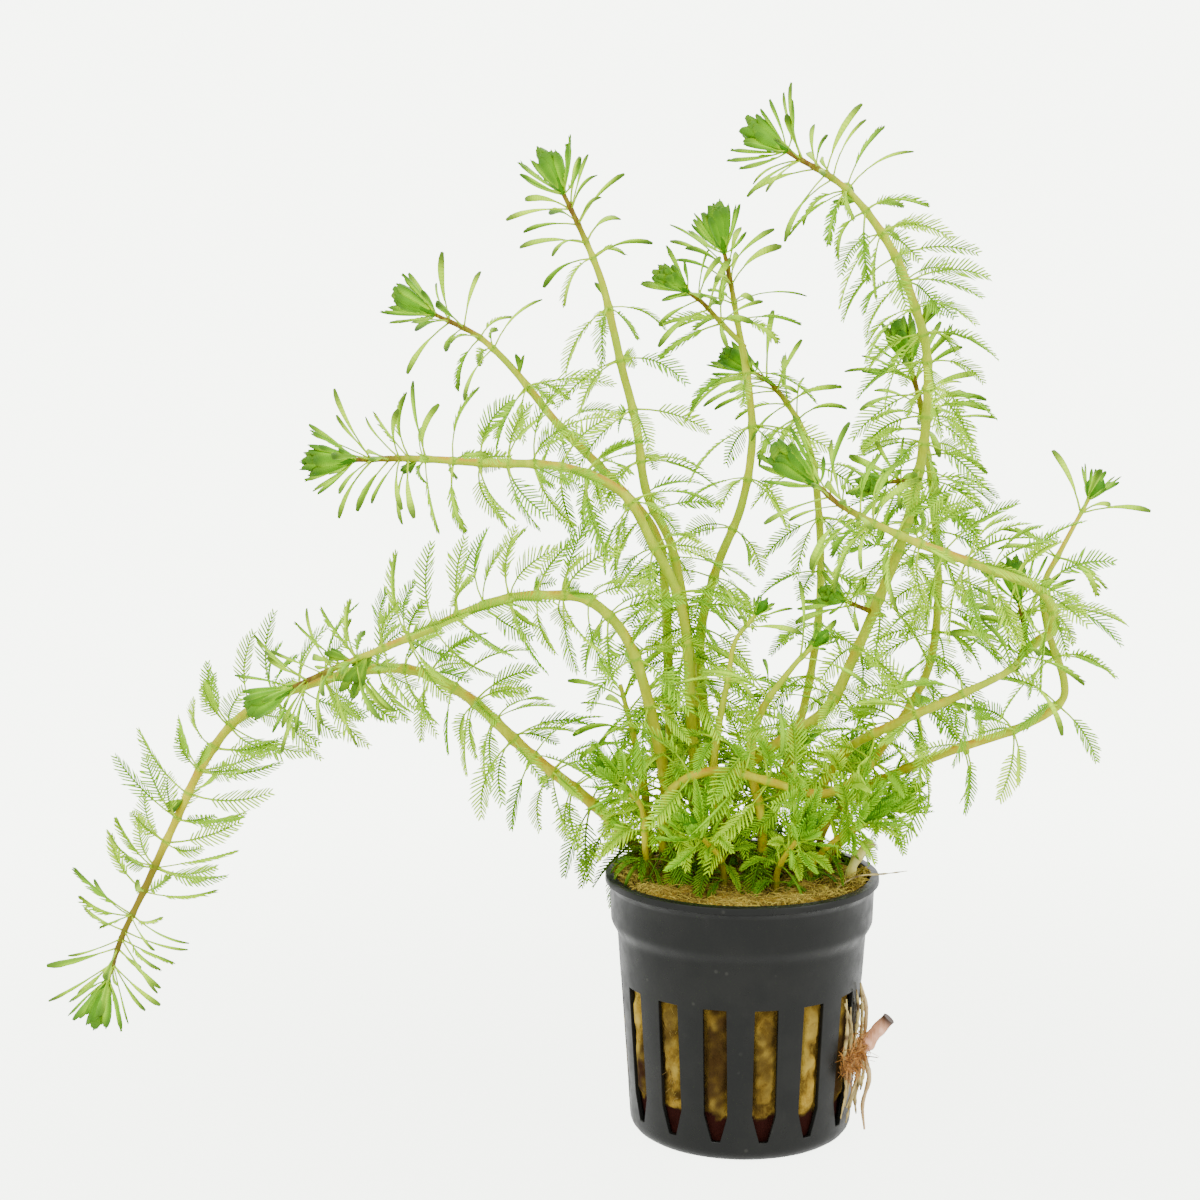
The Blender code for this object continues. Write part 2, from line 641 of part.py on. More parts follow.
class Thicket:
    """What a new blade has to clear: the tubes, the pot, the plug and the blades so far."""

    def __init__(self):
        self.solids = []
        self.blades = []

    def add_object(self, obj):
        """Adds an object's finished mesh, in mm."""
        shape = obj.evaluated_get(bpy.context.evaluated_depsgraph_get())
        mesh = shape.to_mesh()
        spots = [tuple(v.co / MM) for v in mesh.vertices]
        faces = [tuple(p.vertices) for p in mesh.polygons]
        self.solids.append(BVHTree.FromPolygons(spots, faces))
        shape.to_mesh_clear()

    def add_tube(self, stem, route):
        """Adds a stem's bare tube, and its bud's reach, as a search tree, in mm."""
        spots, faces = [], []
        bud = 0.6 * stem.crown
        for row, s in enumerate(np.arange(0, route.length + bud, 2.0)):
            point, tangent, side, cross = route.frame(min(s, route.length))
            point = point + max(0.0, s - route.length) * tangent
            radius = stem_radius(stem, route, min(s, route.length))
            radius = radius * NODE_SWELL * BODY_GAIN + CLEARANCE
            for place in range(6):
                angle = math.pi * place / 3
                spots.append(tuple(point + radius * (math.cos(angle) * side + math.sin(angle) * cross)))
            if row:
                start = 6 * row
                for place in range(6):
                    after = (place + 1) % 6
                    faces.append((start - 6 + place, start - 6 + after, start + after, start + place))
        self.solids.append(BVHTree.FromPolygons(spots, faces))

    def admits(self, leaf, crown=""):
        """Adds a blade if it clears everything outside its own crown, and says whether it did."""
        tree = blade_tree(leaf)
        low, high = blade_box(leaf)
        for other_crown, other_low, other_high, other in self.blades:
            if crown and crown == other_crown:
                continue
            if np.all(low < other_high) and np.all(high > other_low) and tree.overlap(other):
                return False
        for solid in self.solids:
            if tree.overlap(solid):
                return False
        self.blades.append((crown, low, high, tree))
        return True


def crown_leaves(stem, route, start, draws, thicket):
    """The crown's rows: where each sits, its turn and the leaves that clear the rest.

    A short shoot has only the lower row.
    """
    point, tangent, side, cross = route.frame(route.length)
    radius = stem_radius(stem, route, route.length)
    rows = []
    for row, (spread, longer) in enumerate(CROWN_ROWS[:1] if stem.fused else CROWN_ROWS):
        place = point + (start + 0.9 + row * CROWN_ROW_STEP) * tangent
        phase = math.pi / STEM_SIDES * row
        leaves = {}
        for face in range(STEM_SIDES):
            angle = 2 * math.pi * (face + 0.5) / STEM_SIDES + phase
            outward = math.cos(angle) * side + math.sin(angle) * cross
            lean = spread + 14.0 * (draws.random() - 0.5)
            length = stem.crown * longer * (0.85 + 0.25 * draws.random())
            roll = 24.0 * (draws.random() - 0.5)
            leaf = make_leaf(
                place + radius * outward, tangent, outward, lean, length,
                0.35 * tangent, roll, CROWN_WIDTH * stem.crown)
            if thicket.admits(leaf, stem.name):
                leaves[face] = leaf
        rows.append((place, phase, leaves))
    return rows


def grow_crown(shoot, stem, route, start, rows):
    """The crown's body: a neck, a band of faces for each row of leaves, and a bud."""
    point, tangent, side, cross = route.frame(route.length)
    radius = stem_radius(stem, route, route.length)
    shoot.ring(point + start * tangent, side, cross, radius)
    for row, (place, phase, leaves) in enumerate(rows):
        low, high = place - NODE_HALF * tangent, place + NODE_HALF * tangent
        shoot.ring(low, side, cross, radius * NODE_SWELL, phase)
        shoot.ring(high, side, cross, radius * NODE_SWELL, phase, ("crown", row))
        for face, leaf in leaves.items():
            shoot.draw_out(shoot.bands["crown", row][face], leaf)
    top = rows[-1][0]
    bulge = top + 0.25 * stem.crown * tangent
    shoot.ring(bulge, side, cross, BUD_SWELL * stem.crown, rows[-1][1])
    shoot.close(top + BUD_TIP * stem.crown * tangent)


def ring_places(stem, route, leaves):
    """Where the tube's rings sit: a close pair at each leafy whorl, more where it bends."""
    whorls = [(s, index) for index, s, found in leaves if found]
    fixed = [0.0] + [s for s, _ in whorls] + [route.length]
    places = {0.0: None, route.length: None}
    for low, high in zip(fixed, fixed[1:]):
        inside = (route.s > low + 2.0) & (route.s < high - 2.0)
        since = route.frame(low)[1]
        for s, tangent in zip(route.s[inside], route.tangents[inside]):
            if since @ tangent < math.cos(math.radians(TURN_PER_RING)):
                places[float(s)] = None
                since = tangent
    for s, index in whorls:
        places[s - NODE_HALF] = None
        places[s + NODE_HALF] = index
    return sorted(places.items())


def build_stems(parts, stems, thicket):
    """Every stem with its leaves, and its crown as a piece of its own or fused on."""
    stem_finish = material("stem", (0.33, 0.36, 0.07), 0.5)
    crown_finish = material("leaf", (0.16, 0.33, 0.06), 0.55)
    routes = routes_of(stems)
    for stem in stems:
        thicket.add_tube(stem, routes[stem.name])
    crowns = {}
    for number, stem in enumerate(stems):
        if stem.crown > 0:
            start = FUSED_START if stem.fused else GAP
            draws = random.Random(CROWN_SEED + number)
            rows = crown_leaves(stem, routes[stem.name], start, draws, thicket)
            crowns[stem.name] = (start, rows)
    for number, stem in enumerate(stems):
        route = routes[stem.name]
        draws = random.Random(LEAF_SEED + number)
        leaves = []
        for index, s in enumerate(whorl_places(stem, route)):
            blades = chosen_blades(index)
            found = {}
            for face, leaf in enumerate(whorl_leaves(stem, route, s, index, draws)):
                if face in blades and thicket.admits(leaf):
                    found[face] = leaf
            leaves.append((index, s, found))
        shoot = Shoot()
        for s, key in ring_places(stem, route, leaves):
            point, _, side, cross = route.frame(s)
            swell = 1.0 if key is None else NODE_SWELL
            shoot.ring(point, side, cross, stem_radius(stem, route, s) * swell, 0.0, key)
        for index, _, found in leaves:
            for face, leaf in found.items():
                shoot.draw_out(shoot.bands[index][face], leaf)
        if stem.fused:
            grow_crown(shoot, stem, route, *crowns[stem.name])
        else:
            shoot.close()
        new_object(stem.name, mesh_from(shoot.bm, stem.name), parts, stem_finish)
        if stem.name in crowns and not stem.fused:
            crown = Shoot()
            grow_crown(crown, stem, route, *crowns[stem.name])
            name = stem.name.replace("_stem", "") + "_crown"
            new_object(name, mesh_from(crown.bm, name), parts, crown_finish)


def main():
    """Clears the scene and builds the pot, the plug and the plant."""
    for old in list(bpy.data.objects):
        bpy.data.objects.remove(old, do_unlink=True)
    parts = bpy.data.collections.new(PART_NAME)
    cutters = bpy.data.collections.new("cutters")
    bpy.context.scene.collection.children.link(parts)
    bpy.context.scene.collection.children.link(cutters)
    pot = build_pot(parts, cutters)
    wool = build_wool(parts, cutters, STEMS)
    build_roots(parts)
    thicket = Thicket()
    thicket.add_object(pot)
    thicket.add_object(wool)
    thicket.add_object(bpy.data.objects["rim_stub"])
    build_stems(parts, STEMS, thicket)


main()
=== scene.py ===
"""Parrots feather in a slotted net pot: its finished surfaces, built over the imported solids.

Sizes are in millimetres unless a name says otherwise, in the pot's own frame: the origin
is the middle of the pot's underside, +Z is up and -Y is the front. Meshes are written in
metres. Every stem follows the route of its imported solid, and its feather leaves grow from
the same whorls with the same lengths and directions as the solid blades.
"""

import json
import logging
import math
import random
from dataclasses import dataclass, replace
from enum import Enum

import bpy
import numpy as np
from numpy.typing import NDArray
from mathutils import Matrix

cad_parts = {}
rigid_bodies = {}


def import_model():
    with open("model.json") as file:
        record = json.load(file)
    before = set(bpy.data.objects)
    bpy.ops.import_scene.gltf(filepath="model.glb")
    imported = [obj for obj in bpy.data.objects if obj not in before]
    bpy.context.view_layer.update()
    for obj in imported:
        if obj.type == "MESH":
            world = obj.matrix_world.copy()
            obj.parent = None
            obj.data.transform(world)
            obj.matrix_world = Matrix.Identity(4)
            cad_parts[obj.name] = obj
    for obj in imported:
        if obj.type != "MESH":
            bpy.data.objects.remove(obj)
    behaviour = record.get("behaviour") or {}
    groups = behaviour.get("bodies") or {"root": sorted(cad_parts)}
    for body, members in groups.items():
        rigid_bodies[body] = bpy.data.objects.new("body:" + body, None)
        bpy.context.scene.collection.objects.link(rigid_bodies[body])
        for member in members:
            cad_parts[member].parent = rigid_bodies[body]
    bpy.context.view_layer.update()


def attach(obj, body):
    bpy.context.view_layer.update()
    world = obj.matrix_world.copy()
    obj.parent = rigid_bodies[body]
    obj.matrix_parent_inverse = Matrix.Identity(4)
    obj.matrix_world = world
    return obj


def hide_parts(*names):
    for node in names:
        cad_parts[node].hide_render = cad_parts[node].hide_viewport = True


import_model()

Array = NDArray[np.float64]
Material = bpy.types.Material
Socket = bpy.types.NodeSocket
LOG = logging.getLogger("parrots_feather")
MM = 0.001
BODY = "root"


class Slot(Enum):
    """The record's material slots."""

    POT = "pot_plastic"
    WOOL = "rock_wool"
    STEM = "stem"
    LEAF = "leaf"
    CUT_ROOT = "cut_root"
    STRAND = "root_strand"
    STUB = "cut_stub"


def unit(vectors: Array) -> Array:
    """Vectors scaled to length one, along the last axis."""
    return vectors / np.linalg.norm(vectors, axis=-1, keepdims=True)


def dot(first: Array, second: Array) -> Array:
    """Dot products along the last axis, kept as a column."""
    return np.sum(first * second, axis=-1, keepdims=True)


def srgb(*values: int) -> tuple[float, ...]:
    """A colour in linear light from its three screen values of 0 to 255."""
    shares = (value / 255 for value in values)
    return (*(((v + 0.055) / 1.055) ** 2.4 if v > 0.04045 else v / 12.92 for v in shares), 1.0)


def full_turn(count: int) -> Array:
    """The angles of a number of even steps round a circle."""
    return 2 * math.pi * np.arange(count) / count


def ring_ways(angles: Array, side: Array, cross: Array) -> Array:
    """At each ring, a direction for each angle: the cosine times side plus the sine times cross."""
    return np.cos(angles)[None, :, None] * side[:, None] + np.sin(angles)[None, :, None] * cross[:, None]


def turned(angle: float, side: Array, cross: Array) -> Array:
    """The direction at an angle from side towards cross."""
    return math.cos(angle) * side + math.sin(angle) * cross


def placed(name: str, data: bpy.types.ID) -> bpy.types.Object:
    """A new object of the scene, at the origin."""
    made = bpy.data.objects.new(name, data)
    bpy.context.scene.collection.objects.link(made)
    return made


def waves(points: Array, size: float, seed: int, count: int = 28) -> Array:
    """A smooth random field: the sum of plane waves in random directions, about -1 to 1.

    Args:
        points: Places at which the field is read, one per row, in mm.
        size: The waves' usual length in mm.
        seed: Chooses the waves.
        count: How many waves are summed.

    Returns:
        One value for each place.
    """
    draws = np.random.default_rng(seed)
    ways = unit(draws.normal(size=(count, 3)))
    lengths = size * draws.uniform(0.6, 1.6, count)
    phases = draws.uniform(0, 2 * math.pi, count)
    return np.sin(points @ ways.T * (2 * math.pi / lengths) + phases).sum(axis=-1) / math.sqrt(count)


class Batch:
    """Points, faces and point values of one piece, gathered before they go into a mesh."""

    def __init__(self) -> None:
        """Starts empty."""
        self.points: list[Array] = []
        self.faces: list[list[int]] = []
        self.values: dict[str, list[Array]] = {}
        self.count = 0

    def add(self, points: Array, faces: list[Array], **values: Array) -> None:
        """Adds a shape.

        Args:
            points: Its points in mm, one per row.
            faces: Arrays of faces, each of one number of corners, counted from this shape's first point.
            values: A value for each point, under the names that the finish reads.
        """
        self.points.append(points)
        for rows in faces:
            self.faces += (rows + self.count).tolist()
        for name, value in values.items():
            self.values.setdefault(name, []).append(np.broadcast_to(value, len(points)))
        self.count += len(points)

    def piece(self, name: str, finish: Material, slot: Slot, smooth: float = 180.0) -> bpy.types.Object:
        """Makes the gathered shapes one object that rides on the plant's only body.

        Args:
            name: The object's name.
            finish: Its material.
            slot: The record's slot for the piece; not used.
            smooth: Edges that bend more than this many degrees stay sharp.

        Returns:
            The new object.
        """
        mesh = bpy.data.meshes.new(name)
        mesh.from_pydata(np.concatenate(self.points) * MM, [], self.faces)
        for key, parts in self.values.items():
            layer = mesh.attributes.new(key, "FLOAT", "POINT")
            layer.data.foreach_set("value", np.concatenate(parts).astype(np.float32))
        mesh.validate()
        mesh.shade_smooth()
        if smooth < 180.0:
            mesh.set_sharp_from_angle(angle=math.radians(smooth))
        mesh.materials.append(finish)
        made = placed(name, mesh)
        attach(made, BODY)
        LOG.info("%s: %d points, %d faces", name, self.count, len(self.faces))
        return made


def ring_faces(rings: int, sides: int) -> Array:
    """Four-cornered faces between rings of points, each ring closed on itself.

    Args:
        rings: How many rings there are.
        sides: Points in each ring.

    Returns:
        One face per row, facing out where the rings run up and turn anticlockwise.
    """
    row, place = np.meshgrid(np.arange(rings - 1), np.arange(sides), indexing="ij")
    after = (place + 1) % sides
    low = row * sides
    faces = np.stack([low + place, low + after, low + sides + after, low + sides + place], axis=-1)
    return faces.reshape(-1, 4)


def fan_faces(ring_start: int, sides: int, centre: int, outward: bool) -> Array:
    """Three-cornered faces between a ring and a centre point, above it if outward."""
    place = np.arange(sides)
    after = (place + 1) % sides
    first, second = (place, after) if outward else (after, place)
    return np.stack([ring_start + first, ring_start + second, np.full(sides, centre)], axis=-1)


def tube_faces(rings: int, sides: int) -> list[Array]:
    """The faces of a closed tube: its wall, its foot and its head, whose middles follow the rings."""
    body = rings * sides
    return [ring_faces(rings, sides), fan_faces(0, sides, body, False),
            fan_faces(body - sides, sides, body + 1, True)]


def repeated(faces: list[Array], number: int, size: int) -> list[Array]:
    """The faces of one shape of size points, once for each of a number of such shapes."""
    starts = (np.arange(number) * size)[:, None, None]
    return [(rows[None] + starts).reshape(-1, rows.shape[1]) for rows in faces]


def add_tube(batch: Batch, centres: Array, side: Array, cross: Array, radii: Array, sides: int,
             **values: Array) -> None:
    """Adds a closed round tube: each ring is its centre plus its radius times a turning direction.

    Args:
        batch: Where it goes.
        centres: The rings' centres, one per row.
        side: A direction across the tube at each ring.
        cross: The direction square to side and to the tube.
        radii: Each ring's radius, or one for each of its points.
        sides: Points in each ring.
        values: A value for each ring, or for each of its points.
    """
    rings = len(centres)
    reach = np.broadcast_to(np.reshape(radii, (rings, -1)), (rings, sides))[..., None]
    ways = ring_ways(full_turn(sides), side, cross)
    points = np.concatenate([(centres[:, None] + reach * ways).reshape(-1, 3), centres[:1], centres[-1:]])
    spread = {}
    for key, value in values.items():
        each = np.broadcast_to(np.reshape(value, (rings, -1)), (rings, sides))
        spread[key] = np.concatenate([each.ravel(), each[0, :1], each[-1, :1]])
    batch.add(points, tube_faces(rings, sides), **spread)


def curve_frames(points: Array, reference: Array) -> tuple[Array, Array]:
    """Two directions across a line of points: the reference made square to its slope, and the third."""
    along = unit(np.gradient(points, axis=-2))
    side = unit(reference - dot(reference, along) * along)
    return side, np.cross(along, side)


def smooth_line(points: tuple, count: int) -> Array:
    """A line that passes smoothly through points: a cubic between each two.

    Args:
        points: The points.
        count: How many points the line has.

    Returns:
        The line's points, one per row.
    """
    given = np.array(points, dtype=float)
    padded = np.vstack([2 * given[0] - given[1], given, 2 * given[-1] - given[-2]])
    place = np.linspace(0, len(given) - 1, count)
    low = np.minimum(place.astype(int), len(given) - 2)
    t = (place - low)[:, None]
    before, start, end, after = (padded[low + k] for k in range(4))
    return 0.5 * (2 * start + (end - before) * t + (2 * before - 5 * start + 4 * end - after) * t ** 2
                  + (3 * start - before - 3 * end + after) * t ** 3)


def add_rods(batch: Batch, centres: Array, across: Array, above: Array, wide: Array, high: Array,
             tips: Array, **values: Array) -> None:
    """Adds many three-sided pointed rods at once: a low corner each way across and a high one above.

    Args:
        batch: Where they go.
        centres: Ring centres, as rods by rings by 3.
        across: The flat direction at each ring, or one for each rod.
        above: The upward direction at each ring, or one for each rod.
        wide: Half the width at each ring.
        high: The height of the ridge at each ring.
        tips: Each rod's pointed end.
        values: A value for each ring of each rod and then its tip, or one that several of them share.
    """
    rods, rings, _ = centres.shape
    onward = tips[:, None] - centres[:, :1]
    across = across * np.where(dot(np.cross(across[:, :1], above[:, :1]), onward) < 0, -1.0, 1.0)
    left = centres - wide[..., None] * across
    right = centres + wide[..., None] * across
    ridge = centres + high[..., None] * above
    corners = np.stack([left, right, ridge], axis=2).reshape(rods, rings * 3, 3)
    points = np.concatenate([corners, tips[:, None]], axis=1)
    size = rings * 3 + 1
    faces = [ring_faces(rings, 3), fan_faces(size - 4, 3, size - 1, True), np.array([[2, 1, 0]])]
    spread = {key: np.repeat(np.broadcast_to(value, (rods, rings + 1)), [3] * rings + [1], axis=1).ravel()
              for key, value in values.items()}
    batch.add(points.reshape(-1, 3), repeated(faces, rods, size), **spread)


@dataclass(frozen=True)
class Fibres:
    """Draws loose fibres: pointed rods of three rings, each arched off its own line."""

    shares: tuple = (0.0, 0.35, 0.7)
    taper: tuple = (1.0, 1.0, 0.8)
    rise: float = 0.12
    ridge: float = 1.3

    def grow(self, batch: Batch, roots: Array, ways: Array, outward: Array, lengths: Array, thick: Array,
             luck: Array) -> None:
        """Adds fibres: a ring lies a share of the length along, and off the line by half a sine of it.

        Args:
            batch: Where they go.
            roots: Where they start.
            ways: The directions that they take.
            outward: The directions that they arch in.
            lengths: Their lengths.
            thick: Half of each one's width at its foot.
            luck: Each one's own shade, from 0 to 1.
        """
        share = np.array(self.shares)[None, :, None]
        arch = np.sin(math.pi * share) * self.rise * lengths[:, None, None] * outward[:, None]
        centres = roots[:, None] + share * lengths[:, None, None] * ways[:, None] + arch
        wide = thick[:, None] * np.array([self.taper])
        add_rods(batch, centres, unit(np.cross(ways, outward))[:, None], outward[:, None], wide,
                 wide * self.ridge, roots + lengths[:, None] * ways, luck=luck[:, None])


class Graph:
    """One material's nodes: most calls add a node and give back its socket, and a tint turns the colour."""

    def __init__(self, name: str, roughness: float, colour: tuple) -> None:
        """Starts a material with one Principled shader, of a plain roughness and a first colour."""
        self.material = bpy.data.materials.new(name)
        self.material.use_nodes = True
        self.nodes = self.material.node_tree.nodes
        self.links = self.material.node_tree.links
        self.shader = self.nodes["Principled BSDF"]
        self.shader.inputs["Roughness"].default_value = roughness
        self.place = self.nodes.new("ShaderNodeTexCoord").outputs["Object"]
        self.colour: object = colour

    def put(self, socket: Socket, value: object) -> None:
        """Links a socket's value in, or sets it if it is a plain value."""
        if isinstance(value, Socket):
            self.links.new(value, socket)
        else:
            socket.default_value = value

    def fill(self, node: bpy.types.Node, **values: object) -> bpy.types.Node:
        """Links or sets the sockets of a node that are named, and gives the node back."""
        for name, value in values.items():
            self.put(node.inputs[name.replace("_", " ")], value)
        return node

    def node(self, kind: str, **values: object) -> bpy.types.Node:
        """A new node of a kind, with the sockets that are named linked or set."""
        return self.fill(self.nodes.new("ShaderNode" + kind), **values)

    def attribute(self, name: str) -> Socket:
        """A value that the mesh carries at its points."""
        node = self.node("Attribute")
        node.attribute_name = name
        return node.outputs["Fac"]

    def noise(self, size: float, detail: float = 3.0, roughness: float = 0.55,
              stretch: tuple = (1, 1, 1)) -> Socket:
        """Soft random spots.

        Args:
            size: About how large they are, in mm.
            detail: How many times finer spots are added.
            roughness: How strong those are.
            stretch: How much they are drawn out along each axis.

        Returns:
            A value from 0 to 1.
        """
        mapping = self.node("Mapping", Vector=self.place, Scale=tuple(1.0 / share for share in stretch))
        return self.node("TexNoise", Vector=mapping.outputs["Vector"], Scale=1.0 / (size * MM),
                         Detail=detail, Roughness=roughness).outputs["Fac"]

    def patches(self, size: float, low: float, high: float, *kind: object) -> Socket:
        """Noise of a size and kind made into patches: 0 where it is under low, 1 where it is over high."""
        return self.spread(self.noise(size, *kind), low, high)

    def cells(self, size: float) -> Socket:
        """Distance to the nearest of many scattered points, a size in mm apart."""
        return self.node("TexVoronoi", Vector=self.place, Scale=1.0 / (size * MM)).outputs["Distance"]

    def spread(self, value: Socket, low: float, high: float, to_low: float = 0.0,
               to_high: float = 1.0) -> Socket:
        """Maps a value from one range onto another with soft ends, held outside them.

        Args:
            value: The value.
            low: What becomes to_low.
            high: What becomes to_high.
            to_low: The result's value at low.
            to_high: The result's value at high.

        Returns:
            The mapped value.
        """
        node = self.node("MapRange", Value=value, From_Min=low, From_Max=high, To_Min=to_low, To_Max=to_high)
        node.interpolation_type = "SMOOTHSTEP"
        return node.outputs["Result"]

    def maths(self, operation: str, first: object, second: object = 0.0) -> Socket:
        """One sum, product or the like of two values."""
        node = self.node("Math")
        node.operation = operation
        self.put(node.inputs[0], first)
        self.put(node.inputs[1], second)
        return node.outputs["Value"]

    def product(self, first: object, second: object) -> Socket:
        """The product of two values."""
        return self.maths("MULTIPLY", first, second)

    def tint(self, factor: Socket, colour: tuple, most: float = 1.0) -> None:
        """Turns the colour so far into another one.

        Args:
            factor: How much of it is turned, from 0 to 1.
            colour: The other colour.
            most: What the factor is multiplied by.
        """
        node = self.node("Mix")
        node.data_type = "RGBA"
        share = factor if most == 1.0 else self.product(factor, most)
        self.colour = self.fill(node, Factor=share, A=self.colour, B=colour).outputs["Result"]

    def bump(self, height: Socket, depth: float, strength: float = 1.0) -> None:
        """Bumps the surface, over any bump already there.

        Args:
            height: The height, from 0 to 1.
            depth: How many mm a height of 1 stands for.
            strength: The share of the bump that counts.
        """
        node = self.node("Bump", Strength=strength, Distance=depth * MM, Height=height)
        socket = self.shader.inputs["Normal"]
        if socket.is_linked:
            self.links.new(socket.links[0].from_socket, node.inputs["Normal"])
        self.links.new(node.outputs["Normal"], socket)

    def finish(self, **values: object) -> Material:
        """Gives the shader its colour, and links or sets the other sockets that are named."""
        self.fill(self.shader, Base_Color=self.colour, **values)
        return self.material


@dataclass(frozen=True)
class PotFinish:
    """Charcoal moulded plastic with a satin surface, faint scuffs and dried water marks."""

    plastic: tuple = srgb(16, 17, 15)
    worn: tuple = srgb(31, 31, 28)
    mark: tuple = srgb(66, 66, 60)

    def build(self) -> Material:
        """The material."""
        graph = Graph("pot_plastic", 0.4, self.plastic)
        graph.tint(graph.patches(9.0, 0.42, 0.7, 4.0), self.worn, 0.35)
        graph.tint(graph.patches(1.1, 0.56, 0.74, 5.0, 0.7, (1, 1, 3.5)), self.worn, 0.28)
        drops = graph.spread(graph.cells(2.6), 0.09, 0.2, 1.0, 0.0)
        graph.tint(graph.product(drops, graph.patches(6.0, 0.58, 0.66, 2.0)), self.mark, 0.3)
        graph.bump(graph.noise(0.35, 3.0), 0.02, 0.35)
        graph.bump(graph.noise(7.0, 2.0), 0.12, 0.3)
        rough = graph.spread(graph.noise(3.2, 4.0), 0.3, 0.75, 0.26, 0.44)
        return graph.finish(Roughness=rough, Specular_IOR_Level=0.2)


@dataclass(frozen=True)
class WoolFinish:
    """Damp ochre mineral wool: mustard body and straw coloured tufts, with painted light on its lumps and
    bulges and painted shade in its dips, down its side, in the slots' hollows, at its foot and amid the
    stems.
    """

    # Painted shade in the dips and down the side, and also the colour of random darker blotches.
    hollow: tuple = srgb(94, 70, 20)
    body: tuple = srgb(147, 117, 36)
    # Painted light on the lumps and on the bulges into the slots, and also the colour of random pale fibres.
    tuft: tuple = srgb(180, 154, 66)
    # Painted shade in the slots' hollows, at the plug's foot and amid the stems.
    damp: tuple = srgb(60, 43, 14)
    # The darkest painted shade, red-brown, at the plug's foot and in the deepest hollows.
    deep: tuple = srgb(38, 10, 5)

    def build(self) -> Material:
        """The material."""
        graph = Graph("rock_wool", 0.92, self.hollow)
        lift, dark = graph.attribute("lift"), graph.attribute("dark")
        # Painted light and shade: lift is low in the dips and down the side, and high on the lumps and on the
        # bulges into the slots.
        graph.tint(graph.spread(lift, -0.9, 0.3), self.body)
        graph.tint(graph.spread(lift, 0.2, 1.2, 0.0, 0.75), self.tuft)
        graph.tint(graph.patches(0.55, 0.38, 0.72, 5.0, 0.7, (1, 1, 2)), self.tuft, 0.4)
        graph.tint(graph.patches(1.7, 0.48, 0.68, 4.0, 0.65), self.hollow, 0.42)
        # Painted shade, read from the dark attribute.
        graph.tint(graph.spread(dark, 0.05, 0.75), self.damp)
        graph.tint(graph.spread(dark, 0.7, 1.0), self.deep)
        graph.bump(graph.noise(0.3, 5.0, 0.75, (1, 1, 2)), 0.35, 0.9)
        graph.bump(graph.noise(1.6, 3.0, 0.6), 0.6, 0.6)
        return graph.finish(Specular_IOR_Level=0.08)


@dataclass(frozen=True)
class FibreFinish:
    """Loose fibres and fine roots, from straw to brown, each of its own shade."""

    name: str
    pale: tuple
    dark: tuple

    def build(self) -> Material:
        """The material."""
        graph = Graph(self.name, 0.7, self.pale)
        graph.tint(graph.attribute("luck"), self.dark)
        graph.tint(graph.patches(1.2, 0.45, 0.7), self.dark, 0.4)
        return graph.finish()


@dataclass(frozen=True)
class StemFinish:
    """A smooth juicy stem: painted shade in dark olive-brown at the wool, pale, then olive, orange above and
    brown under its crown, with painted highlight streaks.
    """

    low: tuple = srgb(194, 208, 12)
    olive: tuple = srgb(158, 180, 10)
    orange: tuple = srgb(190, 128, 8)
    node: tuple = srgb(120, 166, 10)
    # Painted highlight: pale streaks along the stem.
    light: tuple = srgb(222, 226, 40)
    brown: tuple = srgb(90, 52, 16)
    # Painted shade: the stems' feet, low among the leaves over the plug.
    foot: tuple = srgb(92, 82, 18)

    def build(self) -> Material:
        """The material: along is the height over 200 mm, and between is 0 at a whorl and 1 away from it."""
        graph = Graph("stem", 0.5, self.low)
        height, between = graph.attribute("along"), graph.attribute("between")
        graph.tint(graph.spread(height, 0.02, 0.42), self.olive)
        graph.tint(graph.spread(height, 0.5, 0.32, 0.0, 0.4), self.orange)
        # Painted highlight streaks.
        graph.tint(graph.spread(graph.noise(2.4, 3.0, 0.6, (1, 1, 3)), 0.46, 0.68, 0.0, 0.38), self.light)
        blush = graph.product(graph.spread(between, 0.25, 0.9), graph.patches(7.0, 0.4, 0.62))
        sunny = graph.spread(graph.attribute("upper"), -0.2, 0.7, 0.1, 0.8)
        graph.tint(graph.product(blush, sunny), self.orange)
        graph.tint(graph.spread(between, 0.35, 0.0, 0.0, 0.85), self.node)
        graph.tint(graph.spread(graph.attribute("under_crown"), 0.1, 0.75, 0.0, 0.92), self.brown)
        graph.tint(graph.patches(0.5, 0.4, 0.7, 3.0, 0.6, (1, 1, 6)), self.low, 0.2)
        # Painted shade at the stems' feet, just over the plug.
        graph.tint(graph.spread(height, 0.3, 0.265, 0.0, 0.8), self.foot)
        graph.bump(graph.noise(0.6, 3.0, 0.6, (1, 1, 5)), 0.06, 0.5)
        return graph.finish(Specular_IOR_Level=0.15)


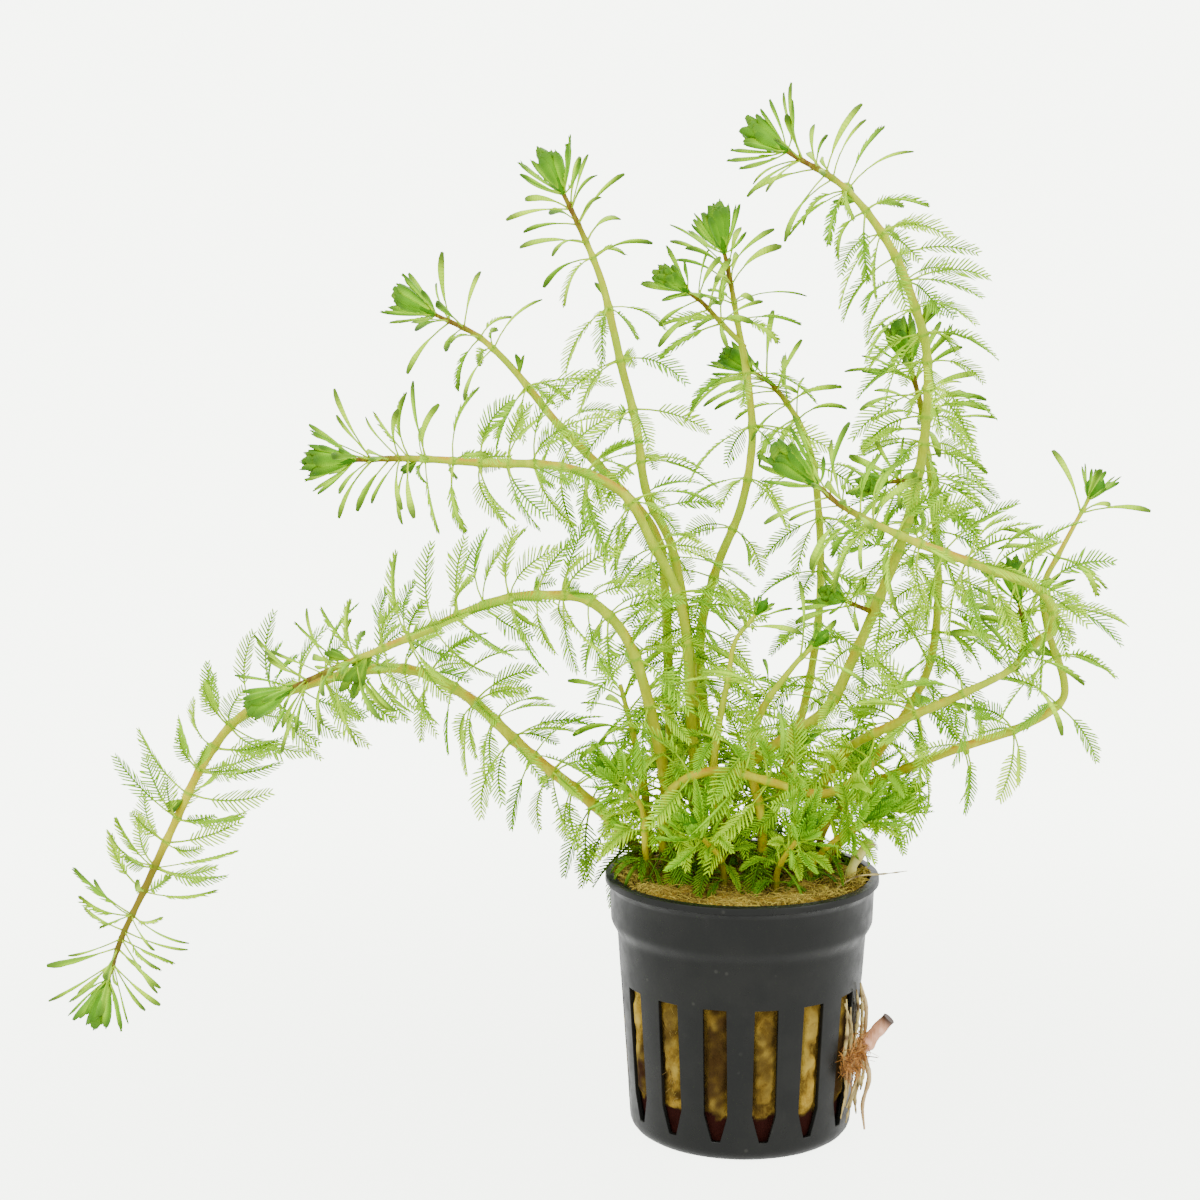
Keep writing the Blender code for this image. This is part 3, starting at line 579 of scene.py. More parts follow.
@dataclass(frozen=True)
class LeafFinish:
    """Feather leaves: fresh green with a darker rib, paler at the stalk and in a closed blade's folds, with
    painted shade low over the plug.
    """

    name: str
    deep: tuple
    fresh: tuple
    pale: tuple = srgb(214, 248, 24)
    rib: tuple = srgb(92, 136, 14)
    tip: tuple = srgb(50, 82, 22)
    # The darker green of buds and some petals, and painted shade on leaves low over the plug.
    dark: tuple = srgb(38, 84, 12)
    stripe_count: float = 120.0
    stripe_lean: float = 7.0

    def build(self) -> Material:
        """The material: slanting stripes on a closed blade follow a sine of its reach and its edge."""
        graph = Graph(self.name, 0.6, self.deep)
        reach, luck, edge, youth, shade = (
            graph.attribute(name) for name in ("reach", "luck", "edge", "youth", "shade"))
        graph.tint(luck, self.fresh)
        graph.tint(graph.product(youth, graph.spread(edge, 0.62, 0.92, 0.0, 0.5)), self.pale)
        phase = graph.maths("SUBTRACT", graph.product(reach, self.stripe_count),
                            graph.product(edge, self.stripe_lean))
        stripe = graph.product(graph.spread(graph.maths("SINE", phase), -0.1, 0.9, 0.0, 0.4), youth)
        graph.tint(stripe, self.deep)
        graph.tint(graph.spread(edge, 0.62, 0.1, 0.0, 0.85), self.rib)
        graph.tint(graph.spread(reach, 0.4, 0.05, 0.0, 0.75), self.pale)
        graph.tint(graph.product(youth, graph.spread(reach, 0.66, 0.96, 0.0, 0.9)), self.tip)
        # Painted shade on leaves low over the plug, and the darker green of buds and some petals.
        graph.tint(shade, self.dark)
        graph.tint(graph.patches(11.0, 0.4, 0.65, 2.0), self.deep, 0.2)
        graph.bump(stripe, 0.12, 0.5)
        return graph.finish(Specular_IOR_Level=0.14)


@dataclass(frozen=True)
class CutRootFinish:
    """A pink to tan root: smooth, blotched, and dark at its cut end."""

    name: str
    skin: tuple
    blotch: tuple
    cut: tuple = srgb(62, 40, 24)

    def build(self) -> Material:
        """The material."""
        graph = Graph(self.name, 0.5, self.skin)
        graph.tint(graph.patches(1.4, 0.36, 0.66, 4.0, 0.6, (1, 1, 2.5)), self.blotch)
        graph.tint(graph.spread(graph.attribute("along"), 0.86, 1.0), self.cut)
        graph.bump(graph.noise(0.5, 4.0, 0.6, (1, 1, 3)), 0.15, 0.6)
        return graph.finish()


@dataclass(frozen=True)
class Stem:
    """One stem: its route from root to tip, its sizes, and what it carries.

    crown is the length of the crown's leaves, 0 for a cut tip. A fused shoot is short and
    keeps its crown in one piece. A side shoot names the stem that it forks from. A furled
    crown is a small dark bud among thin leaves on a green stem. bushy is the share of the
    usual extra leaves. From 1.3 up, the stem's outer and top stretches have whorls between
    the solid ones as well.
    """

    name: str
    route: tuple
    base_radius: float = 1.15
    tip_radius: float = 0.75
    first_whorl: float = 14.0
    leaf: float = 15.0
    crown: float = 10.0
    fused: bool = False
    parent: str = ""
    furled: bool = False
    bushy: float = 1.0


def planted(x: float, y: float, *rest: tuple) -> tuple:
    """A route that starts upright in the plug at x, y and goes on through rest."""
    return ((x, y, 43.85), (x, y, 53.3)) + rest


def low_shoot(place: str, first_whorl: float, leaf: float, x: float, y: float, *rest: tuple) -> Stem:
    """A short shoot low round the rim, named for its place, that is planted at x, y."""
    return Stem("low_shoot_" + place, planted(x, y, *rest), 0.9, 0.7, first_whorl, leaf, fused=True)


STEMS = (
    Stem("left_arch_stem", planted(-13, 6, (-14, 3, 62), (-17, -3, 80), (-22, -7, 98), (-29, -10, 107),
         (-37, -12, 109), (-48, -14, 108), (-63, -17, 102), (-77, -19, 96.5), (-85, -20, 93)), 1.3, 0.7,
         first_whorl=24.0, bushy=2.3),
    Stem("trailing_stem", planted(-20, 9, (-28, 6, 63), (-42, 4, 75), (-55, 4, 87), (-67, 4, 92),
         (-82, 3, 90), (-97, 1, 84), (-105, -1, 75), (-111, -3, 63), (-117, -5, 50), (-121.5, -6.8, 40.5),
         (-124, -7.5, 33)), 1.25, 0.7, bushy=1.7),
    Stem("left_level_stem", planted(-8, 3, (-10, 0, 80), (-12, -3, 104), (-18, -5, 118), (-24, -7, 128),
         (-35, -9, 133), (-50, -11, 134), (-63, -13, 135), (-73, -15.5, 135)), first_whorl=34.0, bushy=1.4),
    Stem("upper_left_stem", planted(-13, 13, (-14, 12, 80), (-15, 10, 105), (-17, 10, 118), (-26, 11, 129),
         (-36, 13, 139), (-45, 14, 150), (-52, 15, 156.5), (-60, 16, 160.5)), first_whorl=30.0),
    Stem("tall_left_stem", planted(-7, 10, (-9, 7, 80), (-11, 5, 100), (-14, 4, 116), (-19, 4, 127),
         (-21, 3, 140), (-24, 1, 152), (-27.5, -1, 167), (-31.5, -2.5, 177), (-34.6, -3.5, 183.5)),
         first_whorl=30.0),
    Stem("centre_stem", planted(-1, 15, (-6, 14, 75), (-8, 13, 95), (-5, 13, 110), (0, 13, 123),
         (2, 12, 136), (1, 12, 148), (-1, 12, 159), (-2.5, 11.3, 167), (-3.7, 10.5, 172.3)), 1.15, 0.7,
         first_whorl=24.0),
    Stem("back_stem", planted(5, 12, (10, 18, 68), (15, 23, 87), (17, 25, 105), (16, 25, 125), (13, 23, 137),
         (7, 20, 146), (3, 19, 149)), 0.95, 0.7, crown=8.0),
    Stem("tall_right_stem", planted(-2, 5, (-4, 0, 64), (-1, -4, 73), (7, -4, 79), (16, -2, 85), (21, 0, 94),
         (26, 0, 106), (31, -2, 121), (34, -3, 138), (34, -5, 153), (31, -6, 164), (25.8, -8, 175),
         (17.5, -10, 185), (7, -11.7, 191.4)), 1.3, 0.75, bushy=1.3),
    Stem("looped_stem", planted(-15, -1, (-16, -6, 62), (-14, -10, 71), (-6, -12, 75), (4, -12, 73),
         (14, -10, 70), (22, -5, 72), (30, 3, 80), (37, 8, 91), (39, 10, 105), (38, 10, 122), (36, 10, 136),
         (34.6, 9.5, 144), (32.5, 8, 150.5)), 0.92, 0.75, bushy=1.5),
    Stem("right_front_stem", planted(8, 2, (13, 2, 64), (20, 0, 76), (28, -8, 83), (40, -14, 90),
         (50, -16, 96), (52, -15, 102), (51.2, -14, 107.2)), 1.15, 0.7, crown=9.0, bushy=0.35),
    Stem("far_right_stem", planted(11, 7, (16, 8, 59), (23, 7, 66), (31, 1, 72), (41, -6, 78), (52, -7, 82),
         (60, -8, 87), (61, -8, 92), (58, -7, 101), (57, -6, 109.5), (60, -5, 116), (65.6, -3, 126)), 1.05,
         0.62, crown=8.5, furled=True, bushy=0.2),
    Stem("short_pale_stem", planted(4, -4, (3, -8, 66), (1, -8, 76), (3, -9, 86), (8.5, -12, 95),
         (12, -13, 99)), 1.05, 0.75, crown=6.5, furled=True, bushy=0.5),
    Stem("bud_stem", planted(-5, -3, (-6, -6, 66), (-6, -7, 75), (-5, -8, 84), (-3.5, -9, 92),
         (-2.2, -9, 99.5), (1.3, -10, 104.5)), 0.9, 0.62, crown=5.0, leaf=12.0, furled=True, bushy=0.5),
    Stem("bare_left_stem", planted(-18, 3, (-19, 3, 66), (-21, 3, 77), (-24, 3, 89)), 0.95, 0.7, crown=0.0,
         leaf=14.0, bushy=0.7),
    Stem("centre_side_shoot", ((-0.6, 12, 155), (-4.5, 9, 159.5), (-8.1, 6, 163.3), (-10.7, 4, 165.3)), 0.7,
         0.62, first_whorl=4.0, leaf=13.0, crown=8.5, parent="centre_stem"),
    Stem("right_front_branch", ((52, -16, 98), (57, -18, 104), (54, -20, 111), (42, -21, 116),
         (29, -23, 121), (17, -25, 127), (12, -26, 131)), 0.95, 0.75, crown=11.0, first_whorl=8.0,
         parent="right_front_stem", bushy=1.4),
    Stem("upper_side_shoot", ((33, -3, 129), (30, -5, 130), (27, -7.5, 130)), 0.7, 0.62, first_whorl=3.0,
         leaf=13.0, crown=7.5, parent="tall_right_stem"),
    Stem("lower_side_shoot", ((25, 0, 104), (21.5, -2, 105.5), (19.5, -4, 106.5)), 0.7, 0.62,
         first_whorl=4.0, leaf=12.0, crown=7.5, parent="tall_right_stem"),
    Stem("rim_left_shoot", planted(-19, -5, (-19.3, -7, 60), (-20, -8.6, 67), (-22.8, -9.5, 70.6)), 0.95,
         0.7, first_whorl=12.0, leaf=12.0, fused=True),
    low_shoot("front_left", 9.0, 13.0, -4, -9, (-5, -12, 58), (-8, -15, 62)),
    low_shoot("front", 9.0, 14.0, 6, -11, (7, -14, 58), (9, -17, 62)),
    low_shoot("front_right", 10.0, 14.0, 13, -5, (16, -8, 59), (21, -11, 64)),
    low_shoot("right", 10.0, 13.0, 17, 2, (21, 1, 59), (27, -1, 64)),
    low_shoot("back_right", 10.0, 14.0, 16, 12, (19, 14, 60), (23, 17, 67)),
    low_shoot("back", 10.0, 14.0, 5, 19, (7, 22, 60), (10, 25, 68)),
    low_shoot("back_left", 10.0, 14.0, -7, 18, (-9, 21, 60), (-12, 25, 68)),
)


class Route:
    """A stem's line: smooth through its points, with a frame carried along it and a radius."""

    STEP = 0.5
    SPAN_POINTS = 24
    TIP_SHARE = 0.6
    TIP_REACH = 24.0
    WHORL_SPACING = 10.5
    LAST_WHORL = 2.5

    def __init__(self, stem: Stem, number: int, points: list[Array]) -> None:
        """Lays the line: a cubic between each two points, read again at even steps of length.

        Args:
            stem: The stem.
            number: The stem's number, which seeds its draws.
            points: The points that the line passes through.
        """
        self.stem, self.number = stem, number
        dense = smooth_line(tuple(points), self.SPAN_POINTS * (len(points) - 1) + 1)
        along = np.concatenate([[0], np.cumsum(np.linalg.norm(np.diff(dense, axis=0), axis=1))])
        self.length = float(along[-1])
        self.s = np.linspace(0, self.length, max(4, int(self.length / self.STEP)))
        self.points = np.stack([np.interp(self.s, along, dense[:, k]) for k in range(3)], axis=1)
        self.tangents = unit(np.gradient(self.points, axis=0))
        side = np.array([0.0, -1.0, 0.0])
        if abs(self.tangents[0] @ side) > 0.8:
            side = np.array([0.0, 0.0, 1.0])
        sides = []
        for tangent in self.tangents:
            side = unit(side - (side @ tangent) * tangent)
            sides.append(side)
        self.sides = np.array(sides)
        self.crosses = np.cross(self.tangents, self.sides)

    def at(self, s: Array) -> Array:
        """The line's points at distances from its root."""
        return np.stack([np.interp(s, self.s, self.points[:, k]) for k in range(3)], axis=-1)

    def row(self, s: Array) -> Array:
        """The numbers of the frames that are nearest to distances from the root."""
        return np.round(np.clip(s / self.length, 0, 1) * (len(self.s) - 1)).astype(int)

    def frame(self, s: float) -> tuple[Array, Array, Array, Array]:
        """Point, tangent and two crosswise directions at a distance from the root."""
        row = self.row(s)
        return self.at(s), self.tangents[row], self.sides[row], self.crosses[row]

    def radius(self, s: Array) -> Array:
        """The radius at distances from the root: an even taper, times a share that falls at the tip."""
        even = self.stem.base_radius + s / self.length * (self.stem.tip_radius - self.stem.base_radius)
        full = np.minimum(1.0, (self.length - s) / self.TIP_REACH)
        return even * (self.TIP_SHARE + (1 - self.TIP_SHARE) * full)

    def whorls(self) -> list[float]:
        """Distances from the root at which the solid whorls sit, evenly spaced up to the tip."""
        first, last = self.stem.first_whorl, self.length - self.LAST_WHORL
        count = max(1, int(round((last - first) / self.WHORL_SPACING)))
        return [last] if last <= first else [float(s) for s in np.linspace(first, last, count + 1)]


@dataclass(frozen=True)
class Leaf:
    """A leaf's guide points and directions, how far it is open, and how its blade looks.

    half is half the width of its blade while it is closed, and bare the share of the leaf
    that is only a stalk. luck is its own green from 0 to 1, and shade darkens it.
    """

    root: Array
    middle: Array
    tip: Array
    across: Array
    upper: Array
    openness: float
    luck: float
    half: float = 0.95
    bare: float = 0.3
    shade: float = 0.0


def spines(leaves: list[Leaf], t: Array) -> tuple[Array, Array, Array, Array]:
    """Places and directions along each rib: the quadratic through its root, middle and tip.

    Args:
        leaves: The leaves.
        t: Shares of the rib, from 0 at the root to 1 at the tip, for all leaves or for each.

    Returns:
        Points, tangents, the flat direction and the upper direction, each leaves by places by 3.
    """
    root, middle, tip, across, upper = (
        np.array([getattr(leaf, name) for leaf in leaves])[:, None]
        for name in ("root", "middle", "tip", "across", "upper"))
    pull = 2 * middle - (root + tip) / 2
    t = np.broadcast_to(t, (len(leaves), t.shape[-1]))[..., None]
    points = (1 - t) ** 2 * root + 2 * t * (1 - t) * pull + t ** 2 * tip
    tangents = unit((1 - t) * (pull - root) + t * (tip - pull))
    flat = unit(across - dot(across, tangents) * tangents)
    above = np.cross(tangents, flat)
    facing = np.where(dot(above, upper) < 0, -1.0, 1.0)
    return points, tangents, flat * facing, above * facing


def looks(leaves: list[Leaf], name: str) -> Array:
    """One number of every leaf, as a column."""
    return np.array([getattr(leaf, name) for leaf in leaves], dtype=float)[:, None]


@dataclass(frozen=True)
class Habit:
    """How stems carry leaves: the sizes, angles and seeds that the solid blades were grown by.

    A jitter is how far apart the least and the most of its draws lie. The seeds start the
    draws that the solids had too, and the others those that only the finer leaves have.
    """

    gap: float = 0.35
    body_gain: float = 1.12
    node_swell: float = 1.12
    whorl_turn: float = 22.0
    whorl_leaves: int = 4
    young_reach: float = 20.0
    spread_old: float = 106.0
    spread_young: float = 46.0
    spread_jitter: float = 26.0
    turn_jitter: float = 30.0
    roll_jitter: float = 150.0
    recurve: float = 0.42
    young_recurve: float = 0.15
    fall: float = 0.12
    fused_fall: float = 0.45
    shortest: float = 0.78
    length_jitter: float = 0.34
    young_length: float = 0.86
    crown_rows: tuple = ((44.0, 1.05), (20.0, 0.95))
    fused_start: float = 0.9
    leaf_seed: int = 100
    crown_seed: int = 500
    luck_seed: int = 3000
    extra_seed: int = 6000
    own_crown_seed: int = 9000
    closed_reach: float = 11.0
    opening_reach: float = 15.0
    openness_jitter: float = 0.7
    fused_openness: float = 0.3
    closed_half: float = 0.52
    low_shade: float = 0.8
    shade_top: float = 62.0
    shade_depth: float = 7.0
    shade_reach: float = 32.0
    low_length: float = 0.72
    low_height: float = 60.5

    def routes(self, stems: tuple[Stem, ...]) -> dict[str, Route]:
        """Lays every stem's route. A side shoot starts just clear of its parent's side.

        Args:
            stems: The stems, each side shoot after its parent.

        Returns:
            The routes by the stems' names.
        """
        found: dict[str, Route] = {}
        for stem in stems:
            points = [np.array(point, dtype=float) for point in stem.route]
            if stem.parent:
                parent = found[stem.parent]
                row = int(np.linalg.norm(parent.points - points[0], axis=1).argmin())
                spot = parent.points[row]
                way = unit(points[1] - spot)
                slant = abs(way @ parent.tangents[row])
                thick = parent.radius(parent.s[row])
                reach = (thick * self.node_swell + stem.base_radius * slant) * self.body_gain + self.gap
                points[0] = spot + reach / math.sqrt(1 - slant ** 2) * way
            found[stem.name] = Route(stem, len(found), points)
        return found

    def leaf(self, root: Array, tangent: Array, outward: Array, spread: float, length: float, bend: Array,
             roll: float, **look: float) -> Leaf:
        """A leaf that leaves the stem at an angle from its tangent and bends past its middle.

        Args:
            root: Where it leaves the stem.
            tangent: The stem's direction there.
            outward: The direction away from the stem.
            spread: Degrees between the stem's direction and the leaf.
            length: The leaf's length.
            bend: What is added to its direction past the middle.
            roll: Degrees that its flat side is turned about its own line.
            look: Its openness, its luck, and whatever else differs from a usual leaf.

        Returns:
            The leaf.
        """
        first = turned(math.radians(spread), tangent, outward)
        second = unit(first + bend)
        across = np.cross(outward, tangent)
        across = turned(math.radians(roll), across, np.cross(across, first))
        middle = root + 0.5 * length * first
        # Painted shade: a leaf low over the plug, within the pot, is darkened by low_shade.
        low = min(1.0, max(0.0, (self.shade_top - middle[2]) / self.shade_depth))
        amid = float(math.hypot(root[0], root[1]) < self.shade_reach)
        look["shade"] = look.get("shade", 0.0) + self.low_shade * low * amid
        return Leaf(root, middle, middle + 0.5 * length * second, across, tangent, **look)

    def whorl(self, route: Route, s: float, index: int, draws: random.Random, lucks: random.Random,
              keep: int = 4) -> list[Leaf]:
        """The leaves of one whorl, going round the stem.

        Args:
            route: The stem's route.
            s: The whorl's distance from the root.
            index: The whorl's number, which turns every second one the other way.
            draws: Gives five numbers for each leaf: turn, length, spread, droop and roll.
            lucks: Gives how far the leaves are open, their shades and their widths.
            keep: How many of its leaves are kept, starting from any one of them.

        Returns:
            The leaves.
        """
        stem = route.stem
        point, tangent, side, cross = route.frame(s)
        beyond = route.length - s
        age = min(1.0, beyond / self.young_reach)
        made = []
        for place in range(self.whorl_leaves):
            turn, longer, wider, droop, roll = (draws.random() for _ in range(5))
            angle = 2 * math.pi * (place + 0.5) / self.whorl_leaves
            angle += math.radians(self.turn_jitter * (turn - 0.5) + self.whorl_turn * (-1) ** index)
            outward = turned(angle, side, cross)
            length = stem.leaf * (self.shortest + self.length_jitter * longer)
            length *= self.young_length + (1 - self.young_length) * age
            spread = self.spread_young + (self.spread_old - self.spread_young) * age
            spread += self.spread_jitter * (wider - 0.5)
            recurve = (self.young_recurve + (self.recurve - self.young_recurve) * age) * (0.5 + droop)
            bend = -recurve * tangent - np.array([0.0, 0.0, self.fused_fall if stem.fused else self.fall])
            openness = (beyond - self.closed_reach) / self.opening_reach
            openness += self.openness_jitter * (lucks.random() - 0.5)
            if stem.fused:
                openness = self.fused_openness + (1 - self.fused_openness) * lucks.random()
                length *= self.low_length if point[2] < self.low_height else 1.0
            made.append(self.leaf(
                point + 0.8 * route.radius(s) * outward, tangent, outward, spread, length, bend,
                self.roll_jitter * (roll - 0.5), openness=min(1.0, max(0.0, openness)), luck=lucks.random(),
                half=self.closed_half * (0.7 + 0.7 * lucks.random()), bare=0.24 + 0.1 * lucks.random()))
        first = int(lucks.random() * self.whorl_leaves)
        return [made[(first + k) % self.whorl_leaves] for k in range(keep)]


@dataclass(frozen=True)
class Club:
    """Draws closed blades: the lobes lie folded forward in one smooth lens-shaped body over the rib.

    corners are the ring's corners in degrees, heights what each one's height is multiplied
    by, and edges how near to the blade's edge each one counts for its colour.
    """

    rings: int = 9
    corners: tuple = (30.0, 90.0, 150.0, 210.0, 270.0, 330.0)
    heights: tuple = (1.0, 0.62, 1.0, 1.0, 1.0, 1.0)
    edges: tuple = (0.95, 0.8, 0.95, 0.5, 0.0, 0.5)
    end: float = 0.99
    fullness: float = 1.3
    flatness: float = 1.1
    depth: float = 0.66
    rise: float = 0.85
    fall: float = 4.5
    stalk: float = 0.1
    limit: float = 0.5
    seed: int = 19

    def grow(self, batch: Batch, leaves: list[Leaf]) -> None:
        """Adds the blades of the leaves that are still closed.

        A blade's half width grows from the stalk as a power of the way along, times a factor
        that falls quickly at the end, so it is widest past its middle and blunt at its tip.
        Across, it is a six-cornered oval above the rib, with a groove along its top.

        Args:
            batch: Where they go.
            leaves: The leaves, closed and open ones.
        """
        closed = [leaf for leaf in leaves if leaf.openness < self.limit]
        if not closed:
            return
        number = len(closed)
        draws = np.random.default_rng(self.seed + number)
        openness, luck, half, bare, shade = (
            looks(closed, name) for name in ("openness", "luck", "half", "bare", "shade"))
        share = np.linspace(0, 1, self.rings)[None]
        u = bare + (self.end - bare) * share
        points, _, flat, above = spines(closed, u)
        way = 0.03 + 0.95 * share
        power = self.rise * draws.uniform(0.7, 1.2, (number, 1))
        body = self.fullness * way ** power * (1 - way ** self.fall) ** 0.5
        body = body * (1 + draws.uniform(-0.08, 0.08, (number, self.rings)))
        half = (half * body * (1 - 0.9 * openness) + self.stalk)[..., None]
        turn = np.radians(self.corners)
        wide = (self.flatness * np.cos(turn))[None, None] * half
        high = (np.array(self.heights) * np.sin(turn) + 0.7)[None, None] * self.depth * half
        ring = points[:, :, None] + wide[..., None] * flat[:, :, None] + high[..., None] * above[:, :, None]
        lift = 0.5 * self.depth * half[:, -1:] * above[:, -1:]
        end = np.array([leaf.tip for leaf in closed])[:, None] + lift
        spots = np.concatenate([ring.reshape(number, -1, 3), points[:, :1], end], axis=1)
        sides = len(self.corners)
        size = self.rings * sides + 2
        reach = np.concatenate([np.repeat(u, sides, axis=1), u[:, :1], np.ones((number, 1))], axis=1)
        edge = np.append(np.tile(self.edges, self.rings), [0.0, 0.6])
        values = {"reach": reach, "edge": edge, "luck": luck, "youth": 1 - openness, "shade": shade}
        batch.add(spots.reshape(-1, 3), repeated(tube_faces(self.rings, sides), number, size),
                  **{key: np.broadcast_to(value, (number, size)).ravel() for key, value in values.items()})


@dataclass(frozen=True)
class Feather:
    """Draws feather leaves: a thin tapering rib and, on open ones, two rows of narrow lobes along it.

    Lengths of lobes are shares of the leaf's length. A sweep is how much further forward a
    lobe points past its middle, and a fold how many degrees it stands up from the flat.
    """

    rings: int = 6
    lobes: int = 14
    rib_base: float = 0.24
    rib_tip: float = 0.15
    rib_ridge: float = 1.3
    lobe_open: float = 0.235
    lobe_closed: float = 0.2
    open_angle: float = 50.0
    closed_angle: float = 15.0
    angle_loss: float = 0.25
    angle_jitter: float = 3.5
    sweep: float = 0.22
    open_fold: float = 12.0
    closed_fold: float = 42.0
    open_width: float = 0.2
    closed_width: float = 0.18
    lobe_widths: tuple = (0.95, 0.85)
    lobe_ridge: float = 0.9
    begin: float = 0.04
    full_length: float = 13.0
    seed: int = 7

    def grow(self, batch: Batch, leaves: list[Leaf]) -> None:
        """Adds every leaf's rib, and the lobes of those that have begun to open.

        A lobe starts on the rib, leaves it forward at an angle that closes towards the tip, and
        curves a little forward past its middle. Its length follows half a sine along the rib.

        Args:
            batch: Where they go.
            leaves: The leaves.
        """
        t = np.linspace(0, 1, self.rings + 1)
        points, _, flat, above = spines(leaves, t)
        taper = self.rib_base + (self.rib_tip - self.rib_base) * t[:-1] ** 0.7
        thick = np.broadcast_to(taper, (len(leaves), self.rings))
        add_rods(batch, points[:, :-1], flat[:, :-1], above[:, :-1], thick, thick * self.rib_ridge,
                 points[:, -1], reach=np.append(t[:-1] * 0.9, 1.0), edge=0.1, luck=looks(leaves, "luck"),
                 youth=1 - looks(leaves, "openness"), shade=looks(leaves, "shade"))
        opened = [leaf for leaf in leaves if leaf.openness > self.begin]
        if opened:
            self.grow_lobes(batch, opened)

    def grow_lobes(self, batch: Batch, leaves: list[Leaf]) -> None:
        """Adds both rows of lobes of every leaf, each lobe a blunt rod of two rings and a point.

        Args:
            batch: Where they go.
            leaves: The leaves.
        """
        draws = np.random.default_rng(self.seed + len(leaves))
        openness, bare = looks(leaves, "openness"), looks(leaves, "bare")
        length = np.array([np.linalg.norm(leaf.middle - leaf.root) + np.linalg.norm(leaf.tip - leaf.middle)
                           for leaf in leaves])[:, None]
        share = np.linspace(0, 1, self.lobes)[None]
        u = bare + (0.98 - bare) * share
        foot, along, flat, above = spines(leaves, u)
        feather = self.lobe_open * (0.6 + 0.45 * np.sin(math.pi * share ** 0.7)) * (1 - 0.35 * share ** 3)
        club = np.minimum(self.lobe_closed * (0.9 + 0.1 * share), 1.0 - u + 0.05)
        size = length * (club + (feather - club) * openness)
        angle = self.closed_angle + (self.open_angle - self.closed_angle) * openness
        angle = angle * (1 - self.angle_loss * share ** 2)
        fold = np.radians(self.closed_fold + (self.open_fold - self.closed_fold) * openness)[..., None]
        wide = self.closed_width + (self.open_width - self.closed_width) * openness
        wide = wide * np.clip(length / self.full_length, 0.4, 1.0)

        def each(value: Array) -> Array:
            """A leaf's value for each of its lobes, as a column."""
            return np.broadcast_to(value, u.shape).reshape(-1, 1)

        width = each(wide) * np.array([self.lobe_widths])
        values = {"reach": each(u) + np.array([[0.0, 0.03, 0.06]]), "edge": np.array([[0.5, 0.8, 1.0]]),
                  "luck": each(looks(leaves, "luck")), "youth": 1 - each(openness),
                  "shade": each(looks(leaves, "shade"))}
        for way in (-1.0, 1.0):
            lean = np.radians(angle + draws.normal(0, self.angle_jitter, u.shape))[..., None]
            reach = (size * draws.uniform(0.86, 1.1, u.shape))[..., None]
            sideways = way * np.cos(fold) * flat + np.sin(fold) * above
            out = np.cos(lean) * along + np.sin(lean) * sideways
            middle = foot + 0.5 * reach * out
            end = middle + 0.5 * reach * unit(out + self.sweep * along)
            centres = np.stack([foot, middle + 0.55 * (end - middle)], axis=2).reshape(-1, 2, 3)
            tips = end.reshape(-1, 3)
            ahead = unit(tips - centres[:, 0])[:, None]
            across = along.reshape(-1, 1, 3)
            across = unit(across - dot(across, ahead) * ahead)
            add_rods(batch, centres, across, np.cross(ahead, across), width, width * self.lobe_ridge, tips,
                     **values)


@dataclass(frozen=True)
class CrownRow:
    """One row of a crown's leaves, which are broad petals or narrow ones.

    spread is in degrees from the stem, longer the leaves' length as a share of the crown's,
    and rise the row's height above the crown's foot. A solid row is one that the solids have.
    """

    spread: float
    count: int
    longer: float
    rise: float
    petal: bool
    solid: bool = False


